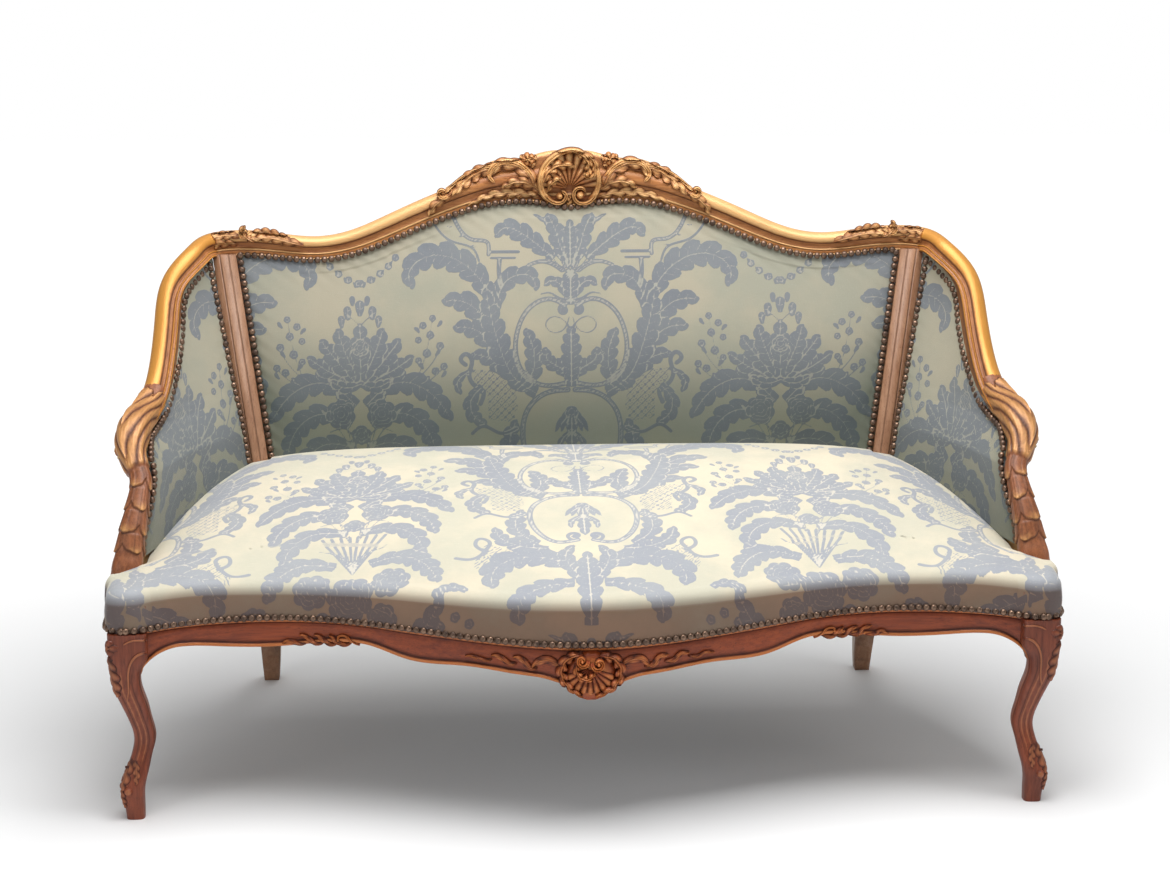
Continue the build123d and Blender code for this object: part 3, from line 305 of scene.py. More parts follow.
def grid(rows: int, cols: int, closed: bool = False) -> list[list[int]]:
    """Four-cornered faces of a grid of rows by columns; closed joins the last column to the first."""
    faces = []
    for r in range(rows - 1):
        for c in range(cols if closed else cols - 1):
            d = (c + 1) % cols
            faces.append([r * cols + c, r * cols + d, (r + 1) * cols + d, (r + 1) * cols + c])
    return faces


def border_of(rows: int, cols: int) -> list[int]:
    """The points round a grid's border, in order."""
    last = (rows - 1) * cols
    border = list(range(cols)) + [r * cols + cols - 1 for r in range(1, rows)]
    border += [last + c for c in range(cols - 2, -1, -1)]
    return border + [r * cols for r in range(rows - 2, 0, -1)]


def tube(rings: Array) -> tuple[Array, list[list[int]]]:
    """Skin over closed rings, with flat ends.

    Args:
        rings: rows × columns × 3, one closed ring of points in each row.

    Returns:
        Points and faces.
    """
    rows, cols = rings.shape[:2]
    faces = grid(rows, cols, closed=True)
    faces.append(list(range(cols))[::-1])
    faces.append([(rows - 1) * cols + c for c in range(cols)])
    return rings.reshape(-1, 3), faces


def dressed(piece: bpy.types.Object, finish: bpy.types.Material, slot: str, *nodes: str) -> bpy.types.Object:
    """Gives a piece its finish and its place on the frame.

    Args:
        piece: the object.
        finish: its material.
        slot: not used.
        nodes: parts of the frame that it stands for.

    Returns:
        The piece.
    """
    piece.data.materials.clear()
    piece.data.materials.append(finish)
    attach(piece, "root")
    if nodes:
        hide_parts(*nodes)
    log.info("%s: %d faces", piece.name, len(piece.data.polygons))
    return piece


def eased_copy(node: bpy.types.Object, name: str, bevel: float, crease: float = 40.0) -> bpy.types.Object:
    """A copy of a frame part with its loose triangles joined and its edges eased.

    Args:
        node: the frame part.
        name: the copy's name.
        bevel: width of the eased edges.
        crease: edges sharper than this many degrees are eased.

    Returns:
        The copy.
    """
    edit = bmesh.new()
    edit.from_mesh(node.data)
    bmesh.ops.remove_doubles(edit, verts=edit.verts, dist=2e-6)
    bmesh.ops.dissolve_limit(edit, angle_limit=math.radians(0.6), verts=edit.verts, edges=edit.edges)
    sharp = sharp_edges(edit, crease)
    bmesh.ops.bevel(edit, geom=sharp, offset=bevel, segments=2, affect="EDGES", clamp_overlap=True)
    for face in edit.faces:
        face.smooth = True
    mesh = bpy.data.meshes.new(name)
    edit.to_mesh(mesh)
    edit.free()
    return placed(name, mesh)


# ------------------------------------------------------------------ shader building
def shade(red: int, green: int, blue: int) -> tuple[float, float, float, float]:
    """A colour as a maker mixes it, 0 to 255, for a shader."""
    linear = [c / 255 / 12.92 if c <= 10 else ((c / 255 + 0.055) / 1.055) ** 2.4 for c in (red, green, blue)]
    return (*linear, 1.0)


class Value:
    """A number socket; an expression on it adds the Math nodes."""

    def __init__(self, tree: "Tree", socket: Any) -> None:
        """Wraps a socket of a tree."""
        self.tree = tree
        self.socket = socket

    def _math(self, operation: str, *inputs: Any, clamp: bool = False) -> "Value":
        """Adds one Math node."""
        sockets = dict(enumerate(inputs))
        node = self.tree.node("ShaderNodeMath", {"operation": operation, "use_clamp": clamp}, sockets)
        return Value(self.tree, node.outputs[0])

    def __add__(self, other: Any) -> "Value":
        """Sum."""
        return self._math("ADD", self, other)

    __radd__ = __add__

    def __sub__(self, other: Any) -> "Value":
        """Difference."""
        return self._math("SUBTRACT", self, other)

    def __rsub__(self, other: Any) -> "Value":
        """Difference from a number."""
        return self._math("SUBTRACT", other, self)

    def __mul__(self, other: Any) -> "Value":
        """Product."""
        return self._math("MULTIPLY", self, other)

    __rmul__ = __mul__

    def __pow__(self, other: Any) -> "Value":
        """Power."""
        return self._math("POWER", self, other)

    def clamped(self) -> "Value":
        """Kept between 0 and 1."""
        return self._math("ADD", self, 0.0, clamp=True)

    def size(self) -> "Value":
        """Without its sign."""
        return self._math("ABSOLUTE", self)

    def step(self, low: float, high: float) -> "Value":
        """Rises smoothly from 0 at low to 1 at high."""
        inputs = {"Value": self, "From Min": low, "From Max": high}
        node = self.tree.node("ShaderNodeMapRange", {"interpolation_type": "SMOOTHSTEP"}, inputs)
        return Value(self.tree, node.outputs["Result"])


class Tree:
    """A node tree that is being built."""

    def __init__(self, tree: bpy.types.NodeTree) -> None:
        """Wraps a tree."""
        self.tree = tree

    def node(self, kind: str, settings: dict[str, Any] | None = None, inputs: dict[Any, Any] | None = None) -> Any:
        """Adds a node.

        Args:
            kind: the node's type.
            settings: properties, set before its sockets.
            inputs: socket name or number to a number, colour, Value or socket.

        Returns:
            The node.
        """
        node = self.tree.nodes.new(kind)
        for key, value in (settings or {}).items():
            setattr(node, key, value)
        for key, value in (inputs or {}).items():
            self.feed(node.inputs[key], value)
        return node

    def feed(self, target: Any, value: Any) -> None:
        """Links or sets a socket."""
        if isinstance(value, Value):
            value = value.socket
        if isinstance(value, bpy.types.NodeSocket):
            self.tree.links.new(value, target)
        else:
            target.default_value = value


class Recipe(Tree):
    """One material's node tree, with its shader node ready."""

    def __init__(self, name: str, **constants: Any) -> None:
        """Starts a material whose shader sockets have the given fixed values."""
        self.material = bpy.data.materials.new(name)
        self.material.use_nodes = True
        super().__init__(self.material.node_tree)
        self.shader = next(n for n in self.tree.nodes if n.type == "BSDF_PRINCIPLED")
        for key, value in constants.items():
            self.shader.inputs[key.replace("_", " ").title().replace("Ior", "IOR")].default_value = value
        self.place = self.node("ShaderNodeTexCoord").outputs["Object"]

    def mark(self, name: str) -> Value:
        """A named value of the piece's mesh."""
        node = self.node("ShaderNodeAttribute", {"attribute_name": name})
        return Value(self, node.outputs["Fac"])

    def axes(self) -> tuple[Value, Value, Value]:
        """The place on the sofa as x, y and z."""
        node = self.node("ShaderNodeSeparateXYZ", inputs={0: self.place})
        return tuple(Value(self, socket) for socket in node.outputs)

    def stretched(self, scale: Point, turn: Point = (0, 0, 0)) -> Any:
        """The place on the sofa, scaled along each axis and turned."""
        node = self.node("ShaderNodeMapping", inputs={"Vector": self.place, "Scale": scale, "Rotation": turn})
        return node.outputs[0]

    def noise(self, scale: float, vector: Any = None, detail: float = 3.0, rough: float = 0.55) -> Value:
        """Cloudy noise around 0.5."""
        inputs = {"Vector": vector or self.place, "Scale": scale, "Detail": detail, "Roughness": rough}
        return Value(self, self.node("ShaderNodeTexNoise", inputs=inputs).outputs[0])

    def mix(self, share: Any, first: Any, second: Any, blend: str = "MIX") -> Any:
        """Mixes two colours by a share from 0 to 1."""
        node = self.node("ShaderNodeMix", {"data_type": "RGBA", "blend_type": blend, "clamp_factor": True})
        for socket, value in ((node.inputs[0], share), (node.inputs[6], first), (node.inputs[7], second)):
            self.feed(socket, value)
        return node.outputs[2]

    def bumped(self, height: Value, strength: float, distance: float) -> None:
        """Feeds the shader's normal with small heights in metres times distance."""
        inputs = {"Height": height, "Strength": strength, "Distance": distance}
        self.feed(self.shader.inputs["Normal"], self.node("ShaderNodeBump", inputs=inputs).outputs[0])

    def done(self, **sockets: Any) -> bpy.types.Material:
        """Feeds the shader's varying sockets and gives back the material."""
        for key, value in sockets.items():
            self.feed(self.shader.inputs[key.replace("_", " ").title()], value)
        return self.material


class Grain(Enum):
    """The way a piece's wood grain runs, as scales across the axes."""

    SIDEWAYS = (1.6, 26.0, 26.0)
    UPRIGHT = (26.0, 26.0, 1.8)
    RAKED = (20.0, 9.0, 3.0)


@dataclass(frozen=True)
class WoodFinish:
    """Polished wood: dark wax with painted shade in the hollows, and gold rubbed over the raised parts."""

    name: str
    light: tuple[int, int, int]
    dark: tuple[int, int, int]
    gilding: float
    grain: Grain = Grain.SIDEWAYS
    gold: tuple[int, int, int] = (226, 172, 92)
    # Colour of the dark wax in the pores, also used for the painted shade in the hollows.
    wax_and_shade: tuple[int, int, int] = (70, 36, 20)
    gloss: float = 0.42
    fluted: bool = False

    def material(self) -> bpy.types.Material:
        """Builds the finish."""
        r = Recipe(self.name, coat_weight=0.06, coat_roughness=0.3, ior=1.42)
        lines = r.noise(7.0, r.stretched(self.grain.value), 6.0, 0.62)
        pores = r.noise(34.0, r.stretched(self.grain.value), 2.0, 0.5)
        clouds = r.noise(9.0, detail=4.0)
        flecks = r.noise(160.0, detail=2.0)
        tone = (lines * 1.5 - 0.35 + (clouds - 0.5) * 0.9).clamped()
        colour = r.mix(tone, shade(*self.dark), shade(*self.light))
        colour = r.mix(pores.step(0.56, 0.72) * 0.45, colour, shade(*self.wax_and_shade))
        relief, hollow = r.mark("relief"), r.mark("hollow")
        worn = (relief * (0.75 + clouds * 0.5) + (flecks - 0.5) * 0.45).step(0.28, 0.85) * self.gilding
        colour = r.mix(worn, colour, shade(*self.gold))
        # Dark wax in the carving's hollows, partly painted shade: the hollow mark also darkens grooves and the
        # places just below steps where shadow falls.
        wax_and_shade_share = (hollow * (0.8 + flecks * 0.4)).clamped() * 0.88
        height = lines * 0.6 - pores * 0.5 + flecks * 0.5 + clouds
        if self.fluted:
            x, _, z = r.axes()
            off = (x.size() - (SIZE.post_x + (z - SIZE.rail_top) * SIZE.lean)) * (1 / 0.0075)
            flute = 1 - ((off * off - 1.0).size() * 2.2).clamped()
            flute = flute * z.step(0.40, 0.44)
            # Painted shade: the flutes are only bumps, so their grooves are darkened here as if in shadow.
            wax_and_shade_share = (wax_and_shade_share + flute * 0.6).clamped()
            height = height - flute * 5.0
        colour = r.mix(wax_and_shade_share, colour, shade(*self.wax_and_shade))
        r.bumped(height, 0.5, 0.0006)
        rough = self.gloss + (clouds - 0.5) * 0.25 + wax_and_shade_share * 0.3 - worn * 0.06
        return r.done(base_color=colour, roughness=rough.clamped(), metallic=(worn * 0.35).clamped())


@dataclass(frozen=True)
class DamaskFinish:
    """Woven silk damask: satin figure in blue-grey on a pale green ground, soiled by use, with painted shade on the
    upright panels and where the cover turns down.
    """

    name: str = "damask"
    ground: tuple[int, int, int] = (201, 197, 178)
    cream: tuple[int, int, int] = (219, 208, 185)
    figure: tuple[int, int, int] = (158, 161, 168)
    vein: tuple[int, int, int] = (214, 208, 194)
    # Brown of soil, mixed with painted shade on the seat's front and sides.
    soil: tuple[int, int, int] = (142, 112, 100)
    # Grey-green of the painted shade on the back and wings.
    dust: tuple[int, int, int] = (128, 138, 136)

    def material(self) -> bpy.types.Material:
        """Builds the finish."""
        r = Recipe(self.name, sheen_weight=0.25, sheen_roughness=0.45, specular_ior_level=0.35)
        figure = r.mark("figure").step(-0.35, 0.35)
        vein = r.mark("vein").step(-0.45, 0.35)
        weft = r.noise(1.0, r.stretched((90, 90, 2400)), 2.0, 0.6)
        warp = r.noise(1.0, r.stretched((1900, 150, 150)), 2.0, 0.6)
        patches = r.noise(5.5, detail=5.0, rough=0.6)
        flecks = r.noise(420.0, detail=1.0)
        ground = r.mix(patches.step(0.38, 0.66), shade(*self.ground), shade(*self.cream))
        blue = r.mix(r.noise(12.0).step(0.3, 0.75) * 0.5, shade(*self.figure), shade(172, 174, 174))
        colour = r.mix(figure, ground, blue)
        colour = r.mix(vein * 0.85, colour, shade(*self.vein))
        thread = (weft * 0.55 + warp * 0.45 - 0.5) * 1.6
        colour = r.mix((thread + 0.5).clamped() * 0.3, colour, shade(108, 116, 118), "SOFT_LIGHT")
        colour = r.mix((flecks.step(0.62, 0.8) * 0.16), colour, shade(233, 228, 208))
        # Soil with painted shade: darkens and browns the cover where it turns down the seat's front and sides, away
        # from the light.
        soil_and_shade_share = (r.mark("soil") * (0.75 + patches * 0.5)).clamped() * 0.92
        colour = r.mix(soil_and_shade_share, colour, shade(*self.soil), "MULTIPLY")
        # Painted shade: darkens the back and wing panels, more towards the seat, the nails and the stiles.
        shade_share = (r.mark("dust") * (0.85 + patches * 0.3)).clamped()
        colour = r.mix(shade_share, colour, shade(*self.dust), "MULTIPLY")
        stain = r.noise(3.1, detail=6.0, rough=0.7).step(0.6, 0.78) * 0.2
        colour = r.mix(stain, colour, shade(176, 160, 128))
        r.bumped(weft * 0.8 + warp * 0.8 + figure * 1.1 - vein * 0.7, 0.45, 0.00045)
        rough = 0.78 - figure * 0.2 + (thread * 0.08)
        return r.done(base_color=colour, roughness=rough.clamped())


@dataclass(frozen=True)
class ClothFinish:
    """A plain woven cloth: lining, hessian, webbing, felt or black cotton."""

    name: str
    thread: tuple[int, int, int]
    shadow: tuple[int, int, int]
    pitch: float = 900.0
    coarse: float = 0.0005

    def material(self) -> bpy.types.Material:
        """Builds the finish."""
        r = Recipe(self.name, sheen_weight=0.15, specular_ior_level=0.25)
        across = r.noise(1.0, r.stretched((self.pitch, self.pitch, self.pitch * 0.05)), 2.0)
        along = r.noise(1.0, r.stretched((self.pitch * 0.05, self.pitch * 0.05, self.pitch)), 2.0)
        weave = across * 0.5 + along * 0.5
        wear = r.noise(8.0, detail=4.0)
        colour = r.mix((weave * 1.7 - 0.35).clamped(), shade(*self.shadow), shade(*self.thread))
        colour = r.mix(wear.step(0.5, 0.85) * 0.25, colour, shade(*self.shadow))
        r.bumped(weave, 0.6, self.coarse)
        return r.done(base_color=colour, roughness=(0.78 + wear * 0.2).clamped())


@dataclass(frozen=True)
class MetalFinish:
    """Aged metal with patches of tarnish."""

    name: str
    bright: tuple[int, int, int]
    tarnish: tuple[int, int, int]
    amount: float = 0.5
    gloss: float = 0.38

    def material(self) -> bpy.types.Material:
        """Builds the finish."""
        r = Recipe(self.name, coat_weight=0.05)
        clouds = r.noise(55.0, detail=4.0)
        pits = r.noise(600.0, detail=2.0)
        aged = (clouds + (pits - 0.5) * 0.4).step(0.62 - self.amount * 0.45, 0.78)
        colour = r.mix(aged, shade(*self.bright), shade(*self.tarnish))
        r.bumped(pits * 0.6 + clouds, 0.3, 0.0004)
        rough = (self.gloss + aged * 0.25 + (pits - 0.5) * 0.15).clamped()
        return r.done(base_color=colour, roughness=rough, metallic=(0.95 - aged * 0.4).clamped())


# ------------------------------------------------------------------ the damask's drawing
@dataclass
class Cartoon:
    """The damask's repeat, drawn in millimetres: across from the middle axis, and down from its top.

    Both sides of the middle axis and of the bouquet's axis mirror each other. Shapes are laid one over
    another, each with a pale line round it where it covers a shape below.
    """

    wide: float = 350.0
    high: float = 640.0
    step: float = 1.0
    figure: Array = field(init=False)
    vein: Array = field(init=False)

    def __post_init__(self) -> None:
        """Lays out the empty sheet and draws the pattern."""
        rows, cols = int(self.high / self.step) + 1, int(self.wide / self.step) + 1
        self.figure = np.full((rows, cols), -9.0)
        self.vein = np.full((rows, cols), -9.0)
        self.down, self.across = np.mgrid[0:rows, 0:cols] * self.step
        self.middle_motif()
        self.strapwork()
        self.bouquet()

    def lay(self, box: tuple[slice, slice], figure: Array, vein: Array) -> None:
        """Lays one shape, given by its distance inside and its veins' distance, over the rest."""
        old, veins = self.figure[box], self.vein[box]
        line = np.where(old > 0, 1.0 - np.abs(figure), -9.0)
        inside = figure > 0
        self.vein[box] = np.where(inside, np.maximum(vein, line), np.maximum(veins, line))
        self.figure[box] = np.maximum(old, figure)

    def window(self, points: Array, room: float) -> tuple[tuple[slice, slice], Array, Array]:
        """The part of the sheet round some points, with its coordinates."""
        low, high = points.min(0) - room, points.max(0) + room
        rows = slice(max(int(low[1] / self.step), 0), max(int(high[1] / self.step) + 2, 1))
        cols = slice(max(int(low[0] / self.step), 0), max(int(high[0] / self.step) + 2, 1))
        return (rows, cols), self.across[rows, cols], self.down[rows, cols]

    def leaf(
        self, spine: Sequence[Pair], half: float, lobes: int = 4, cut: float = 0.45, ribs: bool = True
    ) -> None:
        """Draws an acanthus leaf: scalloped lobes that lean forward from a pale rib, with a vein in each.

        Args:
            spine: a few points from foot to tip.
            half: greatest half width.
            lobes: lobes on each side.
            cut: depth of the notches between the lobes, as a share.
            ribs: draws the pale rib and veins.
        """
        line = smooth_line(spine, 64)
        length = along_line(line)[-1]
        half *= 1.16 if half > 8 else 1.0
        box, u, v = self.window(line, half + 4)
        if u.size == 0:
            return
        gap = np.hypot(u[..., None] - line[:, 0], v[..., None] - line[:, 1])
        near = np.argmin(gap, axis=-1)
        tangent = unit(np.gradient(line, axis=0))[near]
        du, dv = u - line[near, 0], v - line[near, 1]
        across = du * tangent[..., 1] - dv * tangent[..., 0]
        off = np.abs(across)
        along = near / (len(line) - 1) + (du * tangent[..., 0] + dv * tangent[..., 1]) / length
        share = along - 0.62 * off / length
        inside = (along > -0.03) & (share < 1)
        body = np.sin(np.pi * (0.11 + 0.89 * np.clip(share, 0, 1))) ** 0.6
        phase = lobes * np.clip(share, 0, 1) + 0.22 * np.sign(across)
        notch = 1 - np.abs(np.sin(np.pi * phase)) ** 0.5
        fine = 1 - np.abs(np.sin(3 * np.pi * phase)) ** 0.5
        wide = half * body * (1 - cut * notch - 0.07 * fine)
        figure = np.where(inside, wide - off, -np.maximum(gap.min(axis=-1) - half * 0.2, 0.5))
        vein = np.full_like(off, -9.0)
        if ribs and half > 5:
            pitch = length / lobes * 0.85
            vein = np.minimum(0.8 - off, (0.94 - along) * 20)
            parting = 0.7 - np.abs(((phase + 0.5) % 1.0) - 0.5) * pitch
            vein = np.maximum(vein, np.minimum(parting, off - wide * 0.30))
            if half > 11:
                middle = 0.5 - np.abs((phase % 1.0) - 0.5) * pitch
                vein = np.maximum(vein, np.minimum(middle, wide * 0.66 - off))
        self.lay(box, figure, np.where(inside, vein, -9.0))

    def stroke(
        self, path: Sequence[Pair], start: float, end: float | None = None, inner: bool = False
    ) -> None:
        """Draws a band along a curve.

        Args:
            path: points along the curve.
            start: half width at its first point.
            end: half width at its last point; None keeps the first.
            inner: adds a pale line along the band.
        """
        line = smooth_line(path, 70) if len(path) > 2 else np.linspace(path[0], path[1], 30)
        end = start if end is None else end
        box, u, v = self.window(line, max(start, end) + 3)
        if u.size == 0:
            return
        gap = np.hypot(u[..., None] - line[:, 0], v[..., None] - line[:, 1])
        near = np.argmin(gap, axis=-1)
        off = np.min(gap, axis=-1)
        half = start + (end - start) * near / (len(line) - 1)
        vein = 0.6 - np.abs(off - half * 0.42) if inner else np.full_like(off, -9.0)
        self.lay(box, half - off, vein)

    def bloom(self, centre: Pair, radius: float, petals: int = 5, rings: int = 1) -> None:
        """Draws a flower seen from the front, with pale rings and lines between its petals."""
        box, u, v = self.window(np.array([centre]), radius + 3)
        if u.size == 0:
            return
        off, turn = np.hypot(u - centre[0], v - centre[1]), np.arctan2(v - centre[1], u - centre[0])
        wave = np.abs(np.sin(petals * turn / 2 + 0.6))
        edge = radius * (0.8 + 0.2 * wave**0.5)
        vein = np.full_like(off, -9.0)
        for ring in range(1, rings + 1):
            share = ring / (rings + 1)
            shift = radius * (share * (0.86 + 0.18 * np.abs(np.sin((petals - ring) * turn / 2 + ring))))
            vein = np.maximum(vein, 0.62 - np.abs(off - shift))
        if radius > 9:
            spoke = np.abs(np.sin(petals * turn / 2 + 0.6)) * off / petals * 2
            vein = np.maximum(vein, np.minimum(0.55 - spoke, off - radius * 0.5))
        self.lay(box, edge - off, vein)

    def curl(self, centre: Pair, radius: float, start: float, turns: float, half: float) -> None:
        """Draws a scroll that winds in to its centre."""
        self.stroke(spiral(centre, radius, start, turns, 0.86, 14), half, half * 1.5)

    def lattice(self, corners: Sequence[Pair], pitch: float) -> None:
        """Draws crossing diagonals with a dot in each mesh, inside a polygon."""
        outline = np.array(corners, float)
        box, u, v = self.window(outline, 0)
        inside = np.zeros(u.shape, bool)
        for (x0, y0), (x1, y1) in zip(outline, np.roll(outline, -1, axis=0)):
            crosses = (y0 > v) != (y1 > v)
            inside ^= crosses & (u < (x1 - x0) * (v - y0) / (y1 - y0 + 1e-9) + x0)
        first, second = (u + v) / pitch, (u - v) / pitch
        lines = [np.abs(((way + 0.5) % 1.0) - 0.5) * pitch for way in (first, second)]
        dots = np.hypot(((first % 1.0) - 0.5) * pitch, ((second % 1.0) - 0.5) * pitch)
        figure = np.maximum(1.15 - np.minimum(*lines), 1.9 - dots)
        figure = np.where(inside & (self.figure[box] < -1), figure, -9.0)
        self.figure[box] = np.maximum(self.figure[box], figure)

    def middle_motif(self) -> None:
        """Palmette, bow, scrolls and great acanthus leaves on the middle axis."""
        for spine, half, lobes in (
            (((8, 84), (14, 60), (30, 30), (62, 8)), 6, 7),
            (((30, 78), (50, 62), (80, 40), (112, 32), (124, 46)), 16, 5),
            (((3, 92), (16, 62), (26, 30), (38, 8)), 14, 4),
            (((0, 88), (0, 60), (0, 18)), 11, 4),
            (((4, 150), (14, 128), (34, 118), (44, 126)), 9, 3),
            (((0, 156), (0, 128), (0, 98)), 13, 4),
        ):
            self.leaf(spine, half, lobes)
        for reach in (8, 20, 32):
            self.stroke(((0, 112), (reach * 0.5, 96), (reach, 76)), 1.0)
        self.stroke(((14, 100), (30, 90), (48, 86), (70, 92)), 4.5, 3.0, inner=True)
        self.stroke(((4, 150), (20, 146), (34, 138), (50, 140)), 2.2, 1.2)
        lobed = (
            (((64, 302), (92, 282), (116, 236), (132, 180), (142, 128)), 19, 7),
            (((84, 288), (112, 262), (140, 244), (166, 238)), 15, 4),
            (((104, 250), (134, 218), (164, 196), (196, 194)), 17, 4),
            (((122, 210), (146, 176), (176, 152), (214, 150)), 18, 4),
            (((130, 150), (158, 106), (200, 78), (246, 80), (268, 104), (262, 130)), 21, 7),
            (((124, 160), (112, 124), (88, 108), (64, 112), (58, 134)), 15, 4),
        )
        for spine, half, lobes in lobed[::-1]:
            self.leaf(spine, half, lobes)
        self.leaf(((88, 296), (66, 272), (62, 236), (76, 196)), 15, 5)
        ring = ((10, 158), (34, 148), (66, 160), (88, 196), (92, 240), (76, 276), (46, 292), (8, 288))
        self.stroke(ring, 4.2, inner=True)
        self.curl((12, 166), 9, -60, 1.1, 2.2)
        self.stroke(((3, 178), (14, 200), (34, 202), (42, 190), (32, 178), (14, 182), (3, 194)), 1.3)
        for spine, half, lobes in (
            (((4, 282), (20, 262), (40, 248), (42, 228)), 12, 4),
            (((0, 292), (0, 240), (0, 194)), 16, 5),
        ):
            self.leaf(spine, half, lobes)
        self.leaf(((74, 452), (98, 424), (104, 386), (92, 350)), 15, 5)
        self.leaf(((60, 470), (96, 462), (128, 436), (136, 404)), 14, 5)
        ring = ((6, 300), (44, 306), (74, 334), (82, 376), (70, 424), (42, 452), (12, 446))
        self.stroke(ring, 4.6, inner=True)
        self.curl((16, 434), 13, 90, -1.1, 2.6)
        for reach in (7, 18, 28):
            self.leaf(((0, 330), (reach * 0.6, 350), (reach, 372)), 5, 2, ribs=False)
        self.bloom((0, 338), 11, 5)
        self.leaf(((0, 350), (0, 384), (0, 432)), 10, 4)
        self.leaf(((4, 372), (18, 388), (20, 410)), 6, 3)
        for spine, half, lobes in (
            (((20, 520), (60, 496), (106, 492), (140, 520), (142, 560)), 24, 6),
            (((26, 560), (64, 566), (98, 590), (102, 628)), 19, 5),
            (((4, 560), (26, 520), (30, 480), (18, 462)), 13, 4),
            (((0, 636), (0, 570), (0, 480)), 18, 6),
        ):
            self.leaf(spine, half, lobes)

    def strapwork(self) -> None:
        """Cornices, hooked scrolls and lattices beside the middle motif."""
        self.stroke(((86, 70), (136, 70)), 2.6)
        self.stroke(((92, 80), (132, 80)), 2.0)
        self.stroke(((118, 84), (119, 104), (116, 126)), 4.0, 3.0, inner=True)
        self.stroke(((136, 74), (138, 54), (160, 50), (186, 28), (198, 2)), 3.4, inner=True)
        self.stroke(((152, 84), (160, 66), (196, 52), (226, 22), (236, 0)), 2.0)
        for across, down in ((160, 60), (182, 44), (200, 28), (216, 12)):
            self.stroke(((across - 4, down), (across + 4, down)), 0.8)
            self.stroke(((across, down - 4), (across, down + 4)), 0.8)
        hook = ((176, 256), (184, 246), (176, 238), (166, 248), (170, 270), (160, 292), (148, 300), (152, 322))
        self.stroke(hook, 3.6)
        self.leaf(((152, 296), (168, 318), (160, 346), (142, 356)), 12, 4)
        self.leaf(((172, 268), (190, 286), (184, 306)), 8, 3)
        mesh = ((92, 300), (112, 268), (166, 262), (160, 290), (142, 306), (140, 350), (100, 356), (88, 330))
        self.lattice(mesh, 13.0)
        self.stroke(((92, 364), (120, 372), (148, 360), (166, 372)), 2.8)
        self.stroke(((150, 470), (166, 452), (160, 436), (146, 444), (152, 468), (172, 486), (196, 480)), 3.2)
        self.lattice(((112, 470), (150, 450), (172, 500), (160, 524), (128, 486)), 13.0)
        for across, down in ((196, 596), (176, 610), (220, 604)):
            self.bloom((across, down), 8, 5)
        self.leaf(((180, 560), (206, 548), (228, 560)), 10, 4)

    def bouquet(self) -> None:
        """Peony, sprays, acanthus and roses on the bouquet's axis."""
        axis = self.wide
        for off, down in ((60, 78), (48, 92), (34, 104), (18, 114), (2, 120)):
            self.bloom((axis - off, down), 6.5, 5)
        for off, down in ((54, 84), (40, 98), (26, 110), (10, 118)):
            self.leaf(((axis - off, down), (axis - off + 5, down + 9)), 3, 1, ribs=False)
        stems = (
            ((76, 306), (100, 262), (112, 222), (120, 176)), ((84, 300), (116, 280), (136, 262)),
            ((92, 280), (120, 250), (134, 226)),
        )
        for stem in stems:
            self.stroke([(axis - off, down) for off, down in stem], 1.0)
        for off, down, size in (
            (120, 178, 6), (104, 190, 6.5), (116, 206, 7), (96, 214, 6), (132, 224, 7), (110, 236, 7.5),
            (138, 258, 6.5), (124, 266, 7), (96, 248, 6),
        ):
            self.bloom((axis - off, down), size, 5)
        for off, down, turn in (
            (128, 192, 1), (98, 202, -1), (124, 240, 1), (134, 276, 1), (104, 262, -1), (106, 284, 1),
        ):
            self.leaf(((axis - off, down), (axis - off - 8 * turn, down - 10)), 3.6, 1, ribs=False)
        for spine, half, lobes in (
            (((12, 318), (60, 284), (112, 300), (150, 350)), 19, 6),
            (((20, 350), (70, 336), (110, 366), (124, 412)), 18, 6),
            (((16, 392), (58, 386), (96, 420), (104, 466)), 17, 5),
            (((30, 470), (76, 462), (112, 492), (128, 532)), 19, 6),
            (((24, 600), (70, 612), (110, 596), (138, 560)), 16, 5),
        ):
            self.leaf([(axis - off, down) for off, down in spine], half, lobes)
        for off, down in ((40, 300), (64, 330), (52, 366)):
            self.stroke(((axis - 4, 420), (axis - off * 0.6, 360), (axis - off, down)), 1.1)
        for spine, half, lobes in (
            (((2, 286), (46, 268), (88, 240)), 13, 4),
            (((2, 284), (36, 250), (66, 212)), 15, 4),
            (((2, 280), (24, 236), (38, 194)), 15, 4),
            (((0, 276), (0, 232), (0, 186)), 15, 4),
        ):
            self.leaf([(axis - off, down) for off, down in spine], half, lobes)
        self.bloom((axis, 226), 14, 6, 2)
        self.leaf(((axis, 286), (axis - 24, 292), (axis - 50, 280)), 9, 3)
        for off, down, size in ((0, 160, 8), (20, 168, 7), (30, 182, 6), (12, 148, 5)):
            self.leaf(((axis - off, down + size * 1.6), (axis - off * 1.05, down - size * 1.5)), size, 2, 0.1)
        self.stroke(((axis, 190), (axis - 10, 180), (axis - 20, 172)), 0.9)
        self.bloom((axis - 34, 336), 25, 7, 3)
        self.bloom((axis, 372), 17, 6, 2)
        for reach in (6, 20, 34, 48):
            self.stroke(((axis, 492), (axis - reach * 0.5, 448), (axis - reach, 404)), 1.6, 2.6)
        self.stroke(((axis, 470), (axis - 22, 444), (axis - 52, 430)), 2.0, 1.0)
        self.bloom((axis - 58, 516), 30, 8, 3)
        self.bloom((axis, 536), 36, 8, 4)
        self.bloom((axis - 44, 574), 24, 7, 3)
        self.leaf(((axis, 600), (axis, 622), (axis, 638)), 10, 3)

